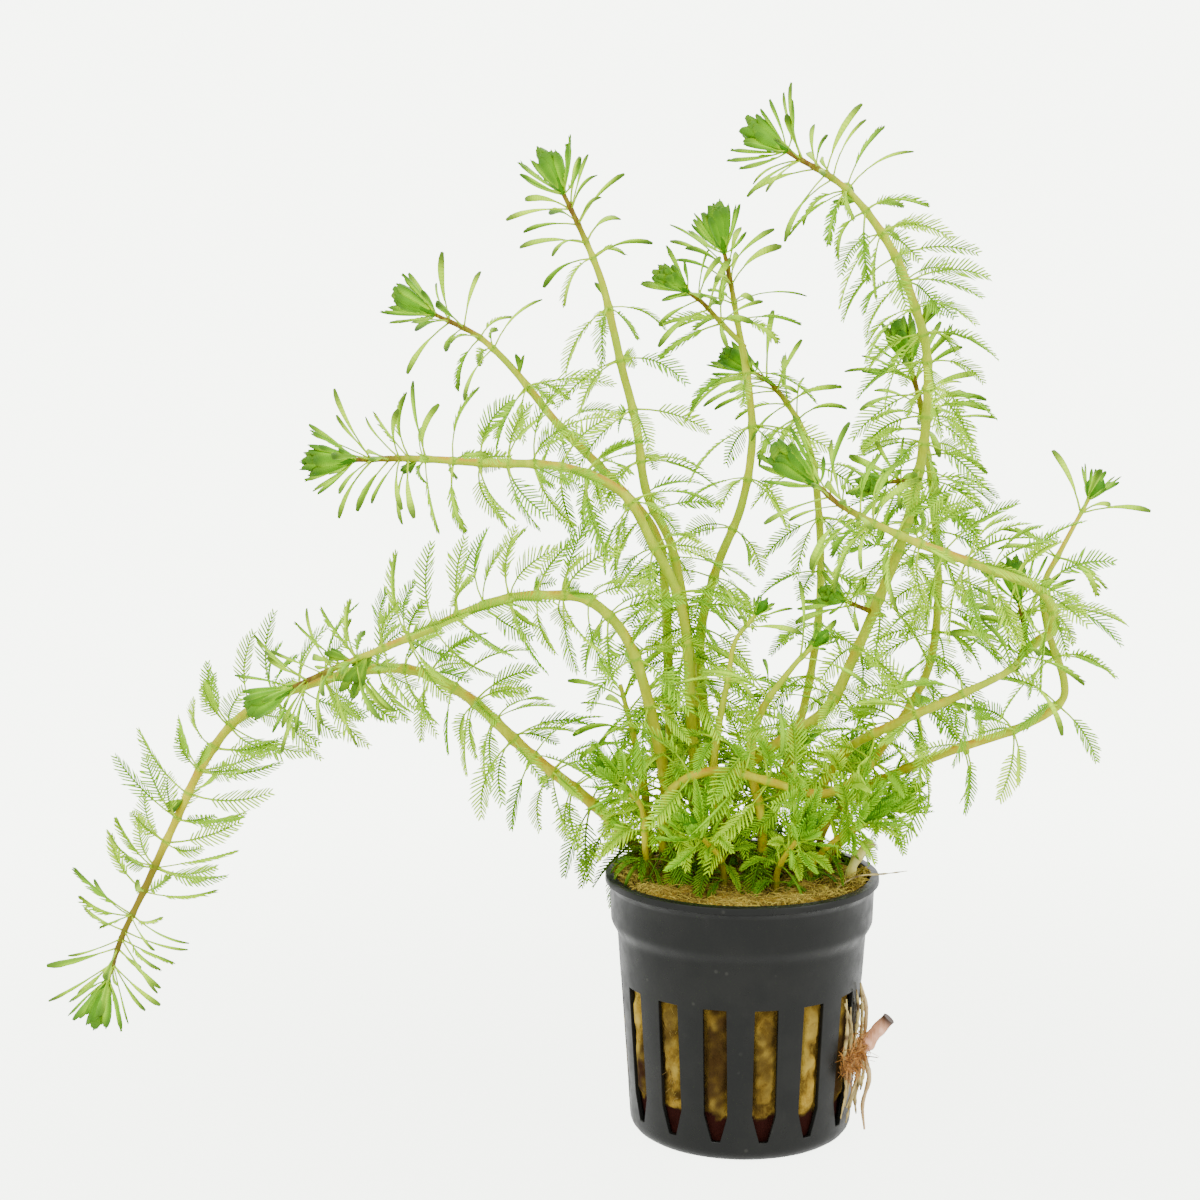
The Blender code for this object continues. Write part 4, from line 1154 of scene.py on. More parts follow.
@dataclass(frozen=True)
class Foliage:
    """The plant above the plug: stem skins, whorls of feather leaves and crowns.

    A tuft gives its stem, its distance from the root, its length and the turn round the stem
    at which it stands. A share is how many extra leaves a whorl has on a usual stem: near the
    rim and well out, near the top of a bushy or a plain stem, and within the plant.
    """

    habit: Habit = Habit()
    feather: Feather = Feather()
    club: Club = Club()
    skin_sides: int = 10
    node_width: float = 0.8
    node_bulge: float = 0.2
    brown_reach: float = 15.0
    young_places: tuple = (5.6, 9.4)
    petal_half: float = 1.35
    outer_share: float = 1.8
    bushy_top_share: float = 2.6
    plain_top_share: float = 0.7
    inner_share: float = 0.3
    very_bushy: float = 1.3
    young_gap: float = 3.0
    dense_height: float = 73.0
    top_height: float = 148.0
    inner_reach: float = 30.0
    crown_extra_rows: tuple = (
        CrownRow(72.0, 2, 1.1, 0.1, False), CrownRow(34.0, 2, 1.05, 0.5, False),
        CrownRow(24.0, 5, 0.84, 0.7, True), CrownRow(12.0, 4, 0.88, 1.0, True),
        CrownRow(4.0, 2, 0.8, 1.6, True))
    tuft_leaves: int = 7
    tufts: tuple = (
        ("trailing_stem", 124.9, 5, 60), ("tall_right_stem", 131.5, 6.5, 100),
        ("tall_right_stem", 159, 5, 265), ("left_level_stem", 128, 4.5, 280),
        ("tall_left_stem", 123.8, 4.5, 200), ("upper_left_stem", 116, 5, 80),
        ("left_arch_stem", 118, 6, 120), ("left_arch_stem", 113.5, 10, 230),
        ("left_arch_stem", 115, 10, 320), ("looped_stem", 130, 5, 30), ("far_right_stem", 84, 6, 250),
        ("right_front_stem", 62, 5, 60))

    def is_brown(self, stem: Stem) -> float:
        """Whether a stem turns brown under its crown, as 1 or 0: low shoots and cut tips stay green."""
        return float(stem.crown > 0 and not stem.fused and not stem.furled)

    def skin(self, route: Route, finish: Material) -> None:
        """A stem's round skin: it swells at each whorl and goes on into its parent or its crown.

        Args:
            route: The stem's route.
            finish: The stem's material.
        """
        stem, s = route.stem, route.s
        before = (np.arange(4) - 4.0) * 0.9 if stem.parent else np.zeros(0)
        after = (np.arange(3) + 1.0) * 0.5 if stem.crown else np.zeros(0)
        reach = np.concatenate([before, s, s[-1] + after])
        row = route.row(reach)
        inside = np.clip(reach, 0, route.length)
        centres = route.at(inside) + (reach - inside)[:, None] * route.tangents[row]
        whorls = np.array(route.whorls() + self.extra_places(route))
        near = np.exp(-((reach[:, None] - whorls[None]) / self.node_width) ** 2).max(axis=1)
        across = route.sides[row], route.crosses[row]
        ways = ring_ways(full_turn(self.skin_sides), *across)
        uneven = 1 + 0.03 * waves((centres[:, None] + ways).reshape(-1, 3), 5.0, 3).reshape(len(reach), -1)
        radii = (route.radius(inside) * (1 + self.node_bulge * near))[:, None] * uneven
        brown = np.clip(1 - (route.length - reach) / self.brown_reach, 0, 1) * self.is_brown(stem)
        batch = Batch()
        add_tube(batch, centres, *across, radii, self.skin_sides, upper=ways[..., 2], under_crown=brown,
                 along=np.clip(centres[:, 2] / 200.0, 0, 1), between=1 - near)
        piece = batch.piece(stem.name + "_skin", finish, Slot.STEM)
        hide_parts(stem.name)

    def extra_places(self, route: Route) -> list[float]:
        """Where finer whorls sit: close under a crown, and midway between others on full stretches.

        Args:
            route: The stem's route.

        Returns:
            Their distances from the root.
        """
        stem, whorls = route.stem, route.whorls()
        young = [place for place in (route.length - under for under in self.young_places)
                 if place > whorls[0] + self.young_gap]
        middles = [(low + high) / 2 for low, high in zip(whorls, whorls[1:])]
        full = [s for s in middles
                if stem.fused or (stem.bushy >= self.very_bushy and self.is_outer(route, s))
                or (stem.bushy >= 1.0 and route.at(s)[2] < self.dense_height)]
        return full + ([] if stem.fused or stem.furled else young)

    def is_outer(self, route: Route, s: float) -> bool:
        """Whether a place on a stem is well away from the plant's middle line, or near its top."""
        x, y, z = route.at(s)
        return math.hypot(x, y) > self.inner_reach or z > self.top_height

    def extra_share(self, route: Route, s: float) -> float:
        """How many extra leaves a whorl has on a usual stem.

        Args:
            route: The stem's route.
            s: The whorl's distance from the root.

        Returns:
            Their number, as an average.
        """
        height = route.at(s)[2]
        if height > self.top_height:
            return self.bushy_top_share if route.stem.bushy > 1.0 else self.plain_top_share
        if self.is_outer(route, s) or route.stem.fused or height < self.dense_height:
            return self.outer_share
        return self.inner_share

    def leaves(self, route: Route, finish: Material) -> None:
        """All the whorl leaves of one stem, in one piece.

        Args:
            route: The stem's route.
            finish: The leaves' material.
        """
        habit, stem = self.habit, route.stem
        draws, lucks, extra = (random.Random(seed + route.number)
                               for seed in (habit.leaf_seed, habit.luck_seed, habit.extra_seed))
        found: list[Leaf] = []
        for index, s in enumerate(route.whorls()):
            found += habit.whorl(route, s, index, draws, lucks)
            more = min(4, int(self.extra_share(route, s) * stem.bushy + extra.random()))
            found += habit.whorl(route, s + 0.3, index + 1, extra, lucks, more)
        for index, s in enumerate(self.extra_places(route)):
            found += habit.whorl(route, s, index + 1, extra, lucks, 3 + int(extra.random() < 0.5))
        for owner, s, length, turn in self.tufts:
            if owner == stem.name:
                found += self.tuft(route, s, length, turn, extra)
        batch = Batch()
        self.feather.grow(batch, found)
        self.club.grow(batch, found)
        batch.piece(stem.name.replace("_stem", "") + "_leaves", finish, Slot.LEAF)

    def tuft(self, route: Route, s: float, length: float, turn: float, draws: random.Random) -> list[Leaf]:
        """The closed leaves of a small side bud that leans out from the stem between its leaves.

        Each stands 6 to 30 degrees off the bud's own line, and is half to 0.85 of the length.

        Args:
            route: The stem's route.
            s: The bud's distance from the root.
            length: Its leaves' length.
            turn: Degrees round the stem.
            draws: Gives the leaves' differences.

        Returns:
            The leaves.
        """
        point, tangent, side, cross = route.frame(s)
        outward = turned(math.radians(turn), side, cross)
        axis = unit(tangent + 0.9 * outward)
        first = unit(np.cross(axis, tangent))
        second = np.cross(axis, first)
        root = point + 0.5 * route.radius(s) * outward
        made = []
        for place in range(self.tuft_leaves):
            around = 2 * math.pi * place / self.tuft_leaves + 0.5 * draws.random()
            made.append(self.habit.leaf(
                root, axis, turned(around, first, second), 6.0 + 24.0 * draws.random(),
                length * (0.5 + 0.35 * draws.random()), 0.3 * axis, 40.0 * (draws.random() - 0.5),
                openness=0.1, luck=draws.random(), half=0.1 * length, bare=0.02,
                shade=0.3 + 0.5 * draws.random()))
        return made

    def rows(self, stem: Stem, start: float) -> list[CrownRow]:
        """The rows of a stem's crown.

        Args:
            stem: The stem.
            start: The crown's height above the stem's end.

        Returns:
            Those that the solids have, and then the finer ones.
        """
        habit = self.habit
        rows = [CrownRow(spread, habit.whorl_leaves, longer * (1.0 - 0.14 * row), start + 0.5 + 0.6 * row,
                         row == 1 and not stem.furled, True)
                for row, (spread, longer) in enumerate(habit.crown_rows[:1 if stem.fused else None])]
        return rows + [replace(row, rise=start + row.rise * (stem.crown / 10.0))
                       for row in self.crown_extra_rows if not (row.petal and stem.furled)]

    def crown(self, route: Route, finish: Material) -> None:
        """A crown: a bud, broad closed petals that overlap round it, and looser closed leaves below.

        Args:
            route: The route of the stem that it tops.
            finish: The crown's material.
        """
        habit, stem = self.habit, route.stem
        point, tangent, side, cross = route.frame(route.length)
        radius = route.radius(route.length)
        start = habit.fused_start if stem.fused else habit.gap
        draws = random.Random(habit.crown_seed + route.number)
        own = random.Random(habit.own_crown_seed + route.number)
        size = stem.crown / 10.0
        found = []
        for index, row in enumerate(self.rows(stem, start)):
            source = draws if row.solid else own
            phase = math.pi / habit.whorl_leaves * index + (0.0 if row.solid else own.random())
            for place in range(row.count):
                outward = turned(2 * math.pi * (place + 0.5) / row.count + phase, side, cross)
                jitter = 14.0 if row.solid or not row.petal else 6.0
                lean = row.spread + jitter * (source.random() - 0.5)
                length = stem.crown * row.longer * (0.85 + 0.25 * source.random())
                length *= 0.7 if stem.furled else 1.0
                roll = 24.0 * (source.random() - 0.5)
                openness = 0.7 + 0.3 * own.random() if stem.fused else 0.1 * own.random()
                half = (0.38 if stem.furled else 0.55) * math.sqrt(size)
                if row.petal:
                    half = self.petal_half * size * (0.85 + 0.3 * own.random())
                found.append(habit.leaf(
                    point + row.rise * tangent + 0.7 * radius * outward, tangent, outward, lean, length,
                    (1.1 if row.petal else 0.25) * tangent, roll, openness=openness, luck=own.random(),
                    half=half, bare=0.04 if row.petal else 0.2,
                    shade=0.6 * own.random() ** 3 if row.petal else 0.0))
        batch = Batch()
        self.feather.grow(batch, found)
        self.club.grow(batch, found)
        self.bud(batch, route, start)
        piece = batch.piece(stem.name.replace("_stem", "") + "_crown_leaves", finish, Slot.LEAF)
        if not stem.fused:
            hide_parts(stem.name.replace("_stem", "") + "_crown")

    def bud(self, batch: Batch, route: Route, start: float) -> None:
        """The furled heart of a crown: a ribbed spindle whose radius follows a sine up to its tip.

        Args:
            batch: Where it goes.
            route: The stem's route.
            start: The crown's height above the stem's end.
        """
        rings, sides = 12, 16
        stem = route.stem
        point, tangent, side, cross = route.frame(route.length)
        share = np.linspace(0, 1, rings)
        tall, wide = (2.2 + 0.35 * stem.crown, 0.19) if stem.furled else (0.85 * stem.crown, 0.15)
        centres = point + start * tangent + share[:, None] * tall * tangent
        ribs = 1 + 0.14 * np.cos(4 * full_turn(sides))[None]
        spindle = np.sin(math.pi * (0.1 + 0.9 * share) ** 1.3) ** 0.8
        radii = (wide * stem.crown * spindle + 0.04)[:, None] * ribs
        same = np.ones(rings)
        add_tube(batch, centres, same[:, None] * side, same[:, None] * cross, radii, sides,
                 reach=0.35 + 0.3 * share, edge=same * 0.6, luck=same * 0.1, youth=same * 0.6,
                 shade=same * 0.95)

    def build(self) -> None:
        """Builds every stem's skin, leaves and crown."""
        stem_finish = StemFinish().build()
        leaf_finish = LeafFinish("leaf", srgb(130, 192, 6), srgb(208, 250, 12)).build()
        crown_finish = LeafFinish("crown", srgb(112, 176, 4), srgb(176, 234, 8), rib=srgb(90, 148, 14),
                                  tip=srgb(54, 96, 22), dark=srgb(48, 106, 6)).build()
        for route in self.habit.routes(STEMS).values():
            self.skin(route, stem_finish)
            self.leaves(route, leaf_finish)
            if route.stem.crown > 0:
                self.crown(route, crown_finish)


@dataclass(frozen=True)
class NetPot:
    """The net pot: a turned wall with a rim band, and slots that narrow to a point at the foot."""

    height: float = 52.0
    rim_radius: float = 27.0
    rim_lip: float = 1.5
    rim_edge: float = 0.4
    lip_rise: float = 0.9
    band_radius: float = 26.05
    band_foot_radius: float = 25.85
    step_height: float = 39.8
    step_rise: float = 3.5
    wall_top_radius: float = 24.5
    wall_foot_radius: float = 22.0
    corner_radius: float = 3.0
    wall: float = 0.9
    floor: float = 1.2
    slots: int = 15
    slot_width: float = 4.6
    slot_radius: float = 22.5
    slot_top: float = 31.0
    slot_shoulder: float = 9.6
    slot_point: float = 4.2
    slot_point_width: float = 1.7
    front_turn_deg: float = -3.3
    slot_cells: int = 3
    slat_cells: int = 6
    bevel: float = 0.14

    @property
    def period(self) -> float:
        """The angle from one slot to the next."""
        return 2 * math.pi / self.slots

    def slot_angle(self, slot: Array) -> Array:
        """The angle at which a slot's middle stands, counted round from the front."""
        return self.period * (slot + 0.5) + math.radians(self.front_turn_deg) - math.pi / 2

    def wall_radius(self, z: Array) -> Array:
        """The wall's outer radius at a height below the step."""
        share = (z - self.corner_radius) / (self.step_height - self.corner_radius)
        return self.wall_foot_radius + share * (self.wall_top_radius - self.wall_foot_radius)

    def inner_radius(self, z: Array) -> Array:
        """The wall's inner radius at any height: the outer one less the wall, widening above the step."""
        above = np.clip((z - self.step_height) / (self.height - self.step_height), 0, 1)
        return (self.wall_radius(np.minimum(z, self.step_height)) - self.wall
                + above * (self.band_radius - self.wall_top_radius))

    def profile(self) -> tuple[Array, Array]:
        """The outer and the inner outline, point for point, from the underside's middle up to the rim.

        Returns:
            Two arrays of radius and height.
        """
        corner = self.corner_radius
        floor_radius = self.wall_foot_radius - corner
        low = np.array([0.25, 0.8, 1.6, 2.3, corner])
        arc = np.stack([floor_radius + np.sqrt(corner ** 2 - (corner - low) ** 2), low], axis=1)
        heights = np.array([self.slot_point, 6.0, 7.8, self.slot_shoulder, 14.0, 20.0, 26.0, self.slot_top,
                            34.0, 37.0, self.step_height - 0.4])
        side = np.stack([self.wall_radius(heights), heights], axis=1)
        share = np.array([0.0, 0.15, 0.3, 0.45, 0.6, 0.75, 0.9, 1.05])
        rise = np.clip(share, 0, 1) ** 2 * (3 - 2 * np.clip(share, 0, 1))
        step = np.stack([self.wall_top_radius + rise * (self.band_foot_radius - self.wall_top_radius),
                         self.step_height + share * self.step_rise], axis=1)
        lip = self.height - self.rim_lip
        upper = np.concatenate([step, np.array([
            (self.band_foot_radius + 0.08, 46.5), (self.band_radius, lip - self.lip_rise - 0.3),
            (self.band_radius + 0.12, lip - self.lip_rise), (self.rim_radius - 0.35, lip - 0.08),
            (self.rim_radius, lip + 0.22), (self.rim_radius, self.height - self.rim_edge),
            (self.rim_radius - 0.12, self.height - 0.12), (self.rim_radius - self.rim_edge, self.height)])])
        flat = np.array([(3.0, 0.0), (12.0, 0.0), (floor_radius - 1.5, 0.0), (floor_radius, 0.0)])
        outer = np.concatenate([flat, arc, side, upper])
        share = np.sqrt(np.clip((low - 0.1) / corner, 0, 1))
        deep = self.wall_foot_radius - self.wall - floor_radius + 0.06
        inner_arc = np.stack([floor_radius + deep * share,
                              self.floor + (corner + 0.9 - self.floor) * share ** 2.2], axis=1)
        inner_side = side - np.array([self.wall, 0.0])
        inner_upper = np.stack([self.inner_radius(upper[:, 1]), upper[:, 1]], axis=1)
        inner_flat = flat + np.array([0.0, self.floor])
        return outer, np.concatenate([inner_flat, inner_arc, inner_side, inner_upper])

    def columns(self, height: float, radius: float) -> Array:
        """Angles of the grid's upright lines at one height, so that some follow the slots' edges."""
        width = np.interp(height, [self.slot_point, self.slot_shoulder],
                          [self.slot_point_width / 2, self.slot_width / 2])
        opening = math.asin(min(0.9, width / max(radius, 6.0)))
        slot = np.linspace(-opening, opening, self.slot_cells + 1)
        slat = np.linspace(opening, self.period - opening, self.slat_cells + 1)[1:-1]
        return (self.slot_angle(np.arange(self.slots))[:, None] + np.concatenate([slot, slat])[None]).ravel()

    def grid(self, outline: Array, guide: Array) -> Array:
        """Turns an outline into a grid of points, its columns set by the outer outline as guide."""
        angles = np.array([self.columns(height, radius) for radius, height in guide])
        around = np.stack([np.cos(angles), np.sin(angles)], axis=-1) * outline[:, None, :1]
        heights = np.broadcast_to(outline[:, None, 1:], around.shape[:2] + (1,))
        return np.concatenate([around, heights], axis=-1)

    def build(self) -> None:
        """Builds the pot: outer and inner skins, the slots' side walls, and both discs' middles."""
        outer_line, inner_line = self.profile()
        outer = self.grid(outer_line, outer_line)
        inner = self.grid(inner_line, outer_line)
        rows, columns, _ = outer.shape
        heights = outer_line[:, 1]
        cut_rows = (heights[:-1] >= self.slot_point - 0.01) & (heights[1:] <= self.slot_top + 0.01)
        in_slot = np.arange(columns) % (self.slot_cells + self.slat_cells) < self.slot_cells
        kept = ~(cut_rows[:, None] & in_slot[None])
        number = np.arange(rows * columns).reshape(rows, columns)
        beyond = rows * columns
        after = np.roll(number, -1, axis=1)
        cells = np.stack([number[:-1], after[:-1], after[1:], number[1:]], axis=-1)
        left_open = kept & ~np.roll(kept, 1, axis=1)
        right_open = kept & ~np.roll(kept, -1, axis=1)
        upright = np.stack([number[:-1], number[1:], number[1:] + beyond, number[:-1] + beyond], axis=-1)
        padded = np.concatenate([np.ones((1, columns), bool), kept, np.zeros((1, columns), bool)])
        level = np.stack([number, after, after + beyond, number + beyond], axis=-1)
        opens_above = padded[:-1] & ~padded[1:]
        opens_below = ~padded[:-1] & padded[1:]
        opens_above[0] = False
        faces = [cells[kept], (cells[..., ::-1] + beyond)[kept], upright[left_open],
                 np.roll(upright, -1, axis=1)[..., ::-1][right_open], level[opens_above],
                 level[..., ::-1][opens_below], fan_faces(0, columns, 2 * beyond, False),
                 fan_faces(beyond, columns, 2 * beyond + 1, True)]
        centres = np.array([[0, 0, 0], [0, 0, self.floor]])
        batch = Batch()
        batch.add(np.concatenate([outer.reshape(-1, 3), inner.reshape(-1, 3), centres]), faces)
        piece = batch.piece("net_pot", PotFinish().build(), Slot.POT, smooth=35.0)
        edges = piece.modifiers.new("edges", "BEVEL")
        edges.width = self.bevel * MM
        edges.segments = 2
        edges.limit_method = "ANGLE"
        edges.angle_limit = math.radians(50.0)
        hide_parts("pot")


@dataclass(frozen=True)
class RockWool:
    """The plug: a lumpy fibrous body that bulges into the slots, with loose fibres and tufts.

    A tuft gives its middle, its spread, how much longer its fibres are and its height. A
    hollow is a spot of painted shade in a slot: it gives its slot, how far it lies to the side,
    its height, half its width, half its own height and how dark it is.
    """

    pot: NetPot
    fibre: Fibres = Fibres()
    top: float = 51.4
    foot: float = 2.6
    gap: float = 0.25
    shoulder: float = 0.9
    bulge: float = 1.15
    around: int = 300
    side_rings: int = 90
    top_rings: int = 46
    fibres: int = 5200
    slot_fibres: int = 400
    curls: int = 1500
    seed: int = 5
    tufts: tuple = (
        (-22.5, -7, 3.2, 2.6, 1.9), (-19, -13, 3, 2, 1.3), (9, -21.5, 4, 1.8, 1.2),
        (16, -17.5, 3.8, 2.4, 1.5), (21.5, -9, 3.2, 3, 1.6), (-2, -22.5, 5, 1.5, 0.7),
        (-23.5, 1, 3, 2.6, 1.5), (24, -1, 3, 2.4, 1.2))
    hollows: tuple = (
        (12, 1.2, 19, 1.2, 6, 0.7), (12, 0.4, 14, 2.6, 6, 0.9), (13, -2, 20, 0.9, 9, 0.7),
        (13, 0.4, 12.4, 2.4, 1.2, 0.6), (13, 0, 26, 4.5, 12, 0.58), (14, -1.5, 22, 1.5, 12, 0.78),
        (14, 0.4, 21, 5, 20, 0.78), (0, 0, 22, 4.5, 20, 0.6), (0, -1.8, 18, 0.8, 9, 0.6),
        (1, 1.5, 12, 0.8, 3, 0.4), (1, 0, 28, 4.5, 12, 0.4), (11, 0, 12, 3, 8, 0.7),
        (2, 0, 19, 3.8, 18, 0.8), (3, 0.6, 17, 1.5, 5, 0.7), (5, -0.8, 21, 1.5, 4, 0.7),
        (8, 0.5, 14, 1.5, 6, 0.7))

    def surface(self) -> tuple[Array, Array]:
        """The plug's skin as rings: up the wall, over the shoulder and in to the middle.

        Returns:
            The grid of points, and how far each stands out, as a share of the deepest lump, less a step down
            the side, which the finish paints as light on the lumps and slot bulges and as shade in the dips
            and down the side.
        """
        pot = self.pot
        wall = np.linspace(self.foot + 1.2, self.top - self.shoulder, self.side_rings)
        wall_radius = pot.inner_radius(wall) - self.gap
        top_radius = wall_radius[-1]
        shoulder = top_radius * np.linspace(1, 0.03, self.top_rings)[1:]
        lift = self.top - self.shoulder * np.clip((shoulder / top_radius - 0.9) / 0.1, 0, 1) ** 2
        under = wall_radius[0] * np.array([0.05, 0.5, 0.86])
        under_z = self.foot + np.array([0.0, 0.0, 0.25])
        radius = np.concatenate([under, wall_radius, shoulder])
        height = np.concatenate([under_z, wall, lift])
        angle = full_turn(self.around)
        flat = np.stack([np.cos(angle), np.sin(angle)], axis=-1)[None] * radius[:, None, None]
        grid = np.concatenate([flat, np.broadcast_to(height[:, None, None], flat.shape[:2] + (1,))], axis=-1)
        spots = grid.reshape(-1, 3)
        lumps = waves(spots, 9.0, 21) + 0.6 * waves(spots, 4.0, 22) + 0.4 * waves(spots, 1.8, 23)
        lumps = lumps.reshape(grid.shape[:2]) / 1.6
        on_top = np.clip((np.arange(len(radius)) - len(under) - len(wall) + 3) / 6.0, 0, 1)[:, None]
        phase = (angle - pot.slot_angle(0) + pot.period / 2) % pot.period
        beside = abs(phase - pot.period / 2) * pot.slot_radius / (pot.slot_width / 2 - 0.3)
        in_slot = np.clip(1 - beside ** 4, 0, 1)[None]
        slot_rows = np.clip((pot.slot_top - 1.0 - height) / 2.0, 0, 1) * np.clip((height - 9.0) / 2.0, 0, 1)
        push = self.bulge * in_slot * slot_rows[:, None] * np.clip(0.85 + 0.5 * lumps, 0, 1)
        out = push + (1 - on_top) * (0.35 * np.minimum(lumps, 0) - 0.1)
        grid[..., :2] += flat / np.maximum(radius, 1.0)[:, None, None] * out[..., None]
        grid[..., 2] += on_top * (1.25 * lumps * np.clip(1.25 - radius / top_radius, 0.25, 1)[:, None] - 0.2)
        for x, y, spread, _, height in self.tufts:
            away = np.hypot(grid[..., 0] - x, grid[..., 1] - y) / spread
            grid[..., 2] += on_top * 0.75 * height * np.exp(-away ** 2)
        # Painted light and shade: higher on the lumps and slot bulges, lower down the side.
        return grid, lumps + 0.8 * push - 0.4 * (1 - on_top)

    def darkness(self, points: Array) -> Array:
        """How dark each place is: painted shade in hollows in the slots, at the plug's foot and amid the
        stems.

        A hollow fades out as the square of the distance from its middle, sideways and upward.

        Args:
            points: The places, one per row.

        Returns:
            A value from 0 to 1 for each.
        """
        pot = self.pot
        angle = np.arctan2(points[:, 1], points[:, 0])
        away = np.hypot(points[:, 0], points[:, 1])
        below = np.clip((pot.step_height - points[:, 2]) / 4.0, 0, 1)
        # Painted shade at the plug's foot.
        dark = np.clip((9.4 + 0.7 * waves(points, 3.0, 41) - points[:, 2]) / 0.8, 0, 1)
        for slot, shift, height, wide, tall, depth in self.hollows:
            turn = (angle - pot.slot_angle(slot) + math.pi) % (2 * math.pi) - math.pi
            across = (turn * away - shift - 0.1 * (points[:, 2] - height)) / wide
            rise = (points[:, 2] - height) / tall
            spot = np.exp(-across ** 2 - rise ** 2 + 0.22 * waves(points, 2.5, 42))
            dark = np.maximum(dark, np.clip(depth * spot, 0, depth) * below)
        # Painted shade amid the stems, under the foliage behind the rim.
        amid = np.exp(-((points[:, 0] + 3.0) / 13.0) ** 2 - ((points[:, 1] + 3.0) / 12.0) ** 2)
        return np.maximum(dark, 0.55 * amid * (1 - below) * np.clip(0.7 + 0.5 * waves(points, 5.0, 43), 0, 1))

    def build(self) -> None:
        """Builds the plug's body and its loose fibres."""
        grid, lift = self.surface()
        batch = Batch()
        points = np.concatenate([grid.reshape(-1, 3), grid[:1].mean(axis=1), grid[-1:].mean(axis=1)])
        values = np.concatenate([lift.ravel(), lift[0].mean(keepdims=True), lift[-1].mean(keepdims=True)])
        # dark carries the painted shade, and lift the painted light and shade of the relief.
        batch.add(points, tube_faces(*lift.shape), lift=values, dark=self.darkness(points))
        piece = batch.piece("wool_plug", WoolFinish().build(), Slot.WOOL)
        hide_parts("rock_wool")
        batch = Batch()
        draws = np.random.default_rng(self.seed)
        self.add_top_fibres(batch, draws, grid)
        self.add_slot_fibres(batch, draws)
        self.add_curls(batch, draws)
        finish = FibreFinish("wool_fibre", srgb(190, 168, 60), srgb(108, 84, 18)).build()
        batch.piece("wool_fibres", finish, Slot.WOOL)

    def add_top_fibres(self, batch: Batch, draws: np.random.Generator, grid: Array) -> None:
        """Scatters fibres over the plug's top, apart from those that would reach through the rim.

        Args:
            batch: Where they go.
            draws: Gives the fibres' differences.
            grid: The plug's rings of points.
        """
        rings, sides, _ = grid.shape
        top = draws.integers(rings - self.top_rings + 2, rings - 1, self.fibres)
        roots = grid[top, draws.integers(0, sides, self.fibres)]
        roots = roots + draws.normal(0, 0.15, roots.shape)
        roots[:, 2] -= 0.15
        turn = draws.uniform(0, 2 * math.pi, self.fibres)
        rise = draws.uniform(-0.1, 0.35, self.fibres)
        ways = unit(np.stack([np.cos(turn), np.sin(turn), rise], axis=1))
        lengths = draws.uniform(0.9, 3.2, self.fibres)
        ends = roots + lengths[:, None] * ways
        limit = self.pot.band_radius - self.pot.wall + draws.uniform(-0.4, 0.5, self.fibres)
        inside = np.hypot(ends[:, 0], ends[:, 1]) < limit
        upward = np.broadcast_to(np.array([0.0, 0.0, 1.0]), roots.shape)
        self.fibre.grow(batch, roots[inside], ways[inside], upward[inside], lengths[inside],
                        draws.uniform(0.05, 0.11, self.fibres)[inside],
                        draws.uniform(0, 1, self.fibres)[inside])

    def add_slot_fibres(self, batch: Batch, draws: np.random.Generator) -> None:
        """Adds upright fibres on the wool that shows in the slots.

        Args:
            batch: Where they go.
            draws: Gives the fibres' differences.
        """
        number = self.slot_fibres
        slot = draws.integers(3, self.pot.slots - 1, number)
        height = draws.uniform(11.0, 29.0, number)
        radius = self.pot.wall_radius(height) - draws.uniform(0.35, 0.8, number)
        shift = draws.uniform(-1.5, 1.5, number)
        angle = self.pot.slot_angle(slot) + shift / radius
        outward = np.stack([np.cos(angle), np.sin(angle), 0 * angle], axis=1)
        sideways = np.stack([-np.sin(angle), np.cos(angle), 0 * angle], axis=1)
        roots = outward * radius[:, None]
        roots[:, 2] = height
        lean = draws.normal(0, 0.6, number) - 0.25 * shift
        upright = np.array([[0, 0, 1.0]]) * draws.choice([-1, 1], (number, 1))
        ways = unit(lean[:, None] * sideways + upright)
        lengths = draws.uniform(0.6, 2.0, number)
        self.fibre.grow(batch, roots, ways, outward, lengths, draws.uniform(0.04, 0.07, number),
                        draws.uniform(0.6, 1, number))

    def add_curls(self, batch: Batch, draws: np.random.Generator) -> None:
        """Adds raised tufts of paler curled fibres on the plug's top, mostly near the rim.

        Args:
            batch: Where they go.
            draws: Gives the fibres' differences.
        """
        x, y, spread, longer, height = np.array(self.tufts)[draws.integers(0, len(self.tufts), self.curls)].T
        away = draws.normal(0, 0.45, (self.curls, 2)) * spread[:, None]
        place = np.stack([x, y], axis=1) + away
        inside = np.hypot(place[:, 0], place[:, 1]) < self.pot.band_radius - self.pot.wall - 0.6
        mound = height * np.exp(-(away ** 2).sum(axis=1) / spread ** 2)
        level = self.top - 0.4 + mound * draws.uniform(0.1, 1.0, self.curls)
        roots = np.concatenate([place, level[:, None]], axis=1)
        turn = draws.uniform(0, 2 * math.pi, self.curls)
        ways = unit(np.stack([np.cos(turn), np.sin(turn), draws.uniform(-0.1, 0.9, self.curls)], axis=1))
        outward = unit(draws.normal(0, 0.5, (self.curls, 3)) + np.array([0.0, 0.0, 1.0]))
        outward = unit(outward - dot(outward, ways) * ways)
        lengths = longer * draws.uniform(0.4, 1.0, self.curls)
        self.fibre.grow(batch, roots[inside], ways[inside], 2.2 * outward[inside], lengths[inside],
                        draws.uniform(0.05, 0.09, self.curls)[inside],
                        draws.uniform(0, 0.5, self.curls)[inside])


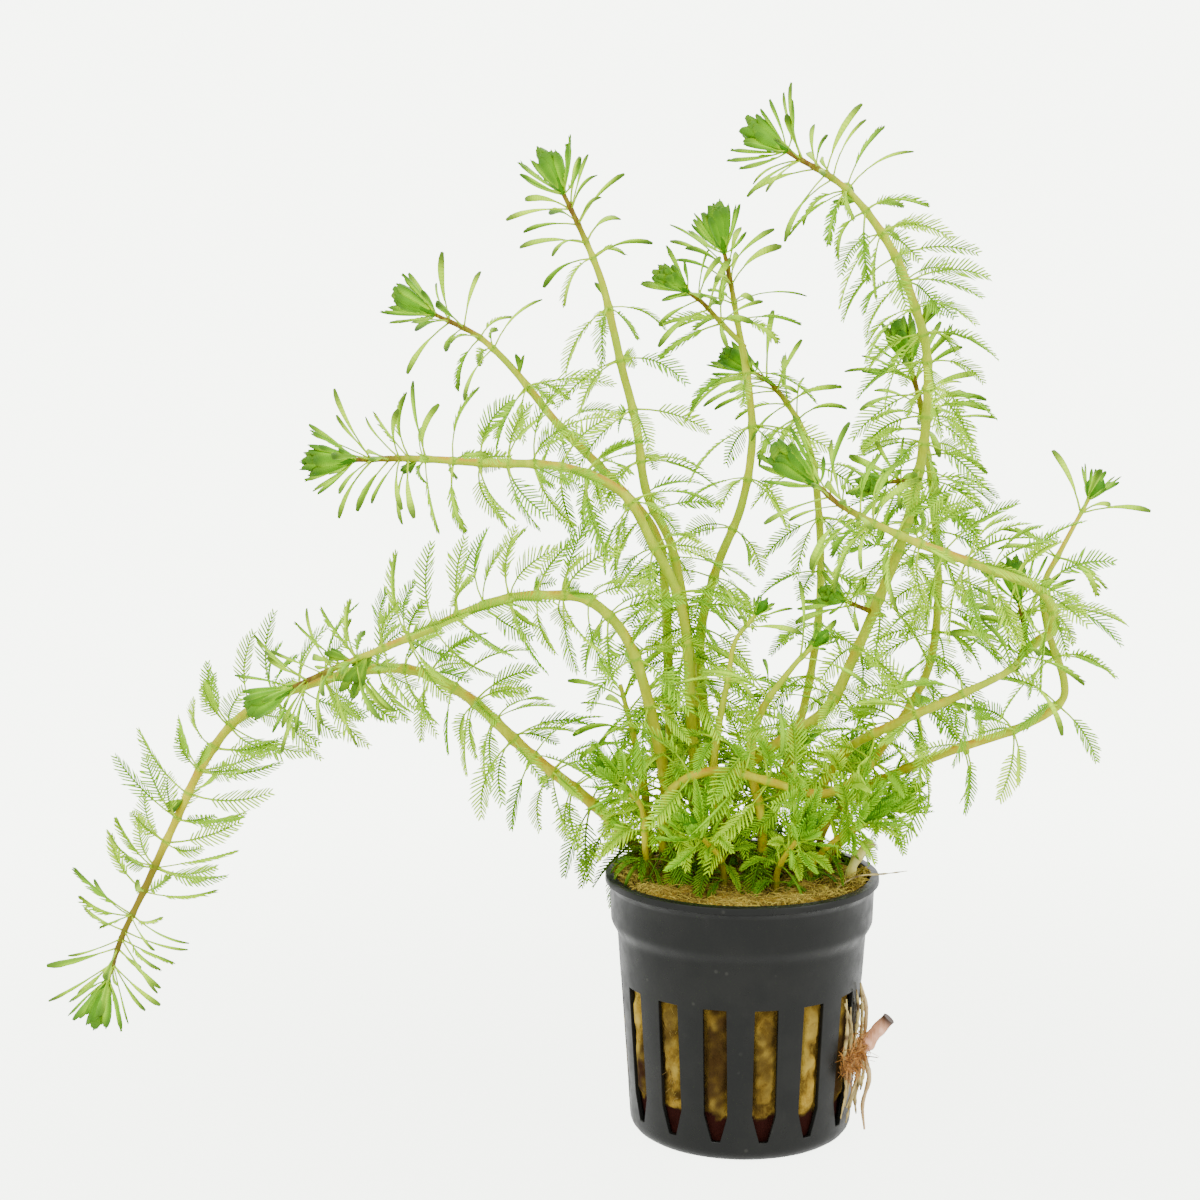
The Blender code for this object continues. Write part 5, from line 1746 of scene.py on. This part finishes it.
@dataclass(frozen=True)
class Roots:
    """What grows out of the plug's side and rim: a cut root, root strands, a mat of hairs and a stub."""

    side_root: tuple = (
        (21, -3.4, 16.2), (23.2, -3.9, 17), (24.9, -4.1, 18.4), (26.4, -4.4, 20.4), (29, -5, 23.6))
    side_radii: tuple = (1, 1.3, 1.9, 1.35, 1.2)
    upper_strand: tuple = ((23.4, -3.2, 30.2), (24.5, -3.6, 26), (24.6, -3.3, 22), (24.2, -3.5, 18))
    lower_strand: tuple = (
        (24, -4.2, 17), (24.9, -4.8, 13.5), (25.2, -5.2, 11), (24, -5.4, 6), (24.4, -5.8, 1))
    stub: tuple = ((20.4, -4, 50), (21.8, -4.2, 55), (25, -4, 59.2))
    stub_radii: tuple = (0.95, 1.05, 1.1)
    hairs: int = 640
    hair: Fibres = Fibres((0.0, 0.4, 0.75), (1.0, 1.0, 1.0), 0.18, 1.2)
    straws: tuple = (
        ((19.3, -14.4, 29.6), (20.9, -12.7, 24), (20.6, -12.4, 18.6), (22.4, -9.4, 14), (20.2, -11.6, 7.5)),
        ((21.9, -10.8, 31.2), (22.5, -9, 26), (21.7, -10.6, 20), (22.9, -7.2, 16)),
        ((22.8, -9.2, 32), (23.4, -7, 27), (23.5, -6.2, 22), (23, -7.4, 17)),
        ((22.8, -6.8, 17.5), (22.3, -8.6, 12.5), (21, -10.4, 8), (20.1, -11.4, 4.4)),
        ((23, -6.4, 17), (23.2, -6.6, 12), (22.2, -8.2, 8.6), (22.6, -6.6, 4.6)),
        ((23.3, -6, 16.6), (24, -6, 13.2), (23.4, -6.6, 9.4)),
        ((20.2, -12.8, 17.4), (21.4, -10.8, 18.4), (22.9, -7.6, 17.8)),
        ((19.6, -14.2, 30.4), (19.9, -13.4, 24), (19.4, -13.8, 18), (19.9, -12.9, 12), (18.9, -13.4, 6)),
        ((20.6, -12.9, 28.4), (20.5, -12.4, 22), (20.9, -11.6, 15.6), (19.8, -12.1, 8)))
    straw_radii: tuple = (0.16, 0.34, 0.4, 0.34, 0.14)
    thread: tuple = ((17, -12, 51.4), (21.5, -11, 53.9), (27, -10, 54.2), (31.5, -9.4, 54.6))

    def line_tube(self, node: str, points: tuple, radii: tuple, finish: Material, slot: Slot,
                  count: int = 40, sides: int = 12) -> None:
        """A round piece along a smooth line, with an uneven skin.

        Args:
            node: The solid that it stands for.
            points: The points that its line passes through.
            radii: Its radius at each of them.
            finish: Its material.
            slot: Its slot.
            count: How many rings.
            sides: Points in each ring.
        """
        line = smooth_line(points, count)
        side, cross = curve_frames(line, np.array([0.0, -1.0, 0.0]))
        share = np.linspace(0, 1, count)
        radius = np.interp(share, np.linspace(0, 1, len(radii)), radii)
        uneven = 1 + 0.08 * waves(line, 2.2, 31)
        batch = Batch()
        add_tube(batch, line, side, cross, radius * uneven, sides, along=share, luck=share * 0.6)
        piece = batch.piece(node + "_skin", finish, slot, smooth=50.0)
        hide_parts(node)

    def hair_mat(self) -> None:
        """Fine root hairs round the cut root's foot: many thin arched rods that fan out over the slot."""
        draws = np.random.default_rng(17)
        number = self.hairs
        batch = Batch()
        turn = np.radians(draws.uniform(-38.0, -10.0, number))
        away = draws.uniform(22.9, 24.2, number)
        roots = np.stack([away * np.cos(turn), away * np.sin(turn), draws.normal(17.4, 1.5, number)], axis=1)
        ways = draws.normal(0, 1, (number, 3)) * np.array([0.25, 0.7, 1.2]) + np.array([0.35, -0.1, 0.0])
        lengths = draws.uniform(1.2, 4.2, number)
        outward = np.broadcast_to(unit(np.array([1.0, -0.18, 0.0])), roots.shape)
        self.hair.grow(batch, roots, unit(ways), outward, lengths, draws.uniform(0.05, 0.12, number),
                       draws.uniform(0, 1, number))
        finish = FibreFinish("root_hair", srgb(196, 136, 56), srgb(128, 80, 28)).build()
        batch.piece("root_hairs", finish, Slot.STRAND)

    def build(self) -> None:
        """Builds the roots, the hairs and the stub."""
        pink = CutRootFinish("cut_root", srgb(232, 178, 146), srgb(200, 138, 96)).build()
        straw = CutRootFinish("cut_stub", srgb(228, 224, 132), srgb(198, 188, 84), srgb(150, 128, 70)).build()
        strand = FibreFinish("root_strand", srgb(206, 182, 128), srgb(150, 102, 52)).build()
        self.line_tube("side_root", self.side_root, self.side_radii, pink, Slot.CUT_ROOT)
        self.line_tube("rim_stub", self.stub, self.stub_radii, straw, Slot.STUB)
        self.line_tube("root_strand_upper", self.upper_strand, (0.3, 0.45, 0.45, 0.3), strand,
                       Slot.STRAND, 60, 8)
        self.line_tube("root_strand_lower", self.lower_strand, (0.4, 0.55, 0.5, 0.4, 0.2), strand,
                       Slot.STRAND, 60, 8)
        self.hair_mat()
        self.build_straws()

    def build_straws(self) -> None:
        """Pale straws that lie over the side slot, and a thin thread that sticks out over the rim."""
        batch = Batch()
        for place, points in enumerate(self.straws + (self.thread,)):
            line = smooth_line(points, 48)
            side, cross = curve_frames(line, np.array([0.3, -1.0, 0.1]))
            share = np.linspace(0, 1, 48)
            radius = np.interp(share, np.linspace(0, 1, len(self.straw_radii)), self.straw_radii)
            thin = 0.45 if points is self.thread else 1.0
            radius = radius * (1 + 0.25 * waves(line, 1.6, 51 + place)) * thin
            add_tube(batch, line, side, cross, radius, 8,
                     luck=np.clip(0.35 + 0.45 * waves(line, 2.6, 71 + place), 0, 1))
        straw = FibreFinish("root_straw", srgb(186, 166, 102), srgb(86, 64, 30)).build()
        batch.piece("root_straws", straw, Slot.STRAND)


@dataclass(frozen=True)
class Studio:
    """A white studio: a pale floor that fades into the surround, soft lights and the camera."""

    camera_place: tuple = (-28, -480, 179)
    camera_pitch_deg: float = 8.62
    lens: float = 75.0
    sensor: float = 36.0
    floor_radius: float = 1500.0
    floor_corners: int = 96
    fade_from: float = 40.0
    fade_to: float = 330.0
    clear_share: float = 0.74
    surround: float = 2.2
    backdrop: float = 7.6
    target: tuple = (-20, 0, 100)

    def build(self) -> None:
        """Sets up the camera, the floor, the surround and the lights."""
        self.build_camera()
        self.build_floor()
        self.build_surround()
        self.area("key_light", (-420, -520, 720), 520, 5.1)
        self.area("fill_light", (560, -380, 460), 480, 2.9)
        self.area("back_light", (60, 620, 640), 600, 3.3)

    def build_camera(self) -> None:
        """The camera, level from side to side and pitched down."""
        data = bpy.data.cameras.new("camera")
        data.lens = self.lens
        data.sensor_width = self.sensor
        data.clip_start = 0.01
        data.clip_end = 20.0
        camera = placed("camera", data)
        camera.location = tuple(value * MM for value in self.camera_place)
        camera.rotation_euler = (math.radians(90.0 - self.camera_pitch_deg), 0.0, 0.0)
        bpy.context.scene.camera = camera

    def build_floor(self) -> None:
        """A round pale floor, clear at its edge so that it has no horizon."""
        graph = Graph("studio_floor", 0.8, srgb(243, 243, 241))
        graph.finish(Specular_IOR_Level=0.1)
        distance = graph.node("VectorMath")
        distance.operation = "LENGTH"
        graph.links.new(graph.place, distance.inputs[0])
        fade = graph.spread(distance.outputs["Value"], self.fade_from * MM, self.fade_to * MM,
                            self.clear_share, 1.0)
        clear, both = graph.node("BsdfTransparent"), graph.node("MixShader")
        graph.links.new(fade, both.inputs[0])
        graph.links.new(graph.shader.outputs["BSDF"], both.inputs[1])
        graph.links.new(clear.outputs["BSDF"], both.inputs[2])
        output = graph.nodes["Material Output"]
        graph.links.new(both.outputs["Shader"], output.inputs["Surface"])
        turn = full_turn(self.floor_corners)
        ring = np.stack([np.cos(turn), np.sin(turn), 0 * turn], axis=1) * self.floor_radius
        mesh = bpy.data.meshes.new("floor")
        mesh.from_pydata(ring * MM, [], [list(range(self.floor_corners))])
        mesh.materials.append(graph.material)
        floor = placed("floor", mesh)

    def build_surround(self) -> None:
        """An even pale surround that lights the plant from every side, and is bright behind it."""
        world = bpy.data.worlds.new("surround")
        world.use_nodes = True
        nodes, links = world.node_tree.nodes, world.node_tree.links
        sky, backdrop = nodes["Background"], nodes.new("ShaderNodeBackground")
        for node, colour, strength in ((sky, srgb(243, 244, 242), self.surround),
                                       (backdrop, srgb(243, 248, 237), self.backdrop)):
            node.inputs["Color"].default_value = colour
            node.inputs["Strength"].default_value = strength
        path = nodes.new("ShaderNodeLightPath")
        either = nodes.new("ShaderNodeMixShader")
        links.new(path.outputs["Is Camera Ray"], either.inputs[0])
        links.new(sky.outputs["Background"], either.inputs[1])
        links.new(backdrop.outputs["Background"], either.inputs[2])
        links.new(either.outputs["Shader"], nodes["World Output"].inputs["Surface"])
        bpy.context.scene.world = world

    def area(self, name: str, place: tuple, size: float, power: float) -> None:
        """A soft square light that looks at the middle of the plant.

        Args:
            name: The light's name.
            place: Where it stands.
            size: The length of its side.
            power: Its power in watts.
        """
        data = bpy.data.lights.new(name, "AREA")
        data.shape = "SQUARE"
        data.size = size * MM
        data.energy = power
        light = placed(name, data)
        spot = np.array(place) * MM
        light.location = spot
        aim = unit(np.array(self.target) * MM - spot)
        light.rotation_euler = (math.acos(-aim[2]), 0.0, math.atan2(aim[1], aim[0]) - math.pi / 2)


def main() -> None:
    """Builds the studio, the pot, the plug, the roots and the plant, in that order."""
    logging.basicConfig(level=logging.INFO, format="%(message)s")
    Studio().build()
    pot = NetPot()
    pot.build()
    RockWool(pot).build()
    Roots().build()
    Foliage().build()


if __name__ == "__main__":
    main()
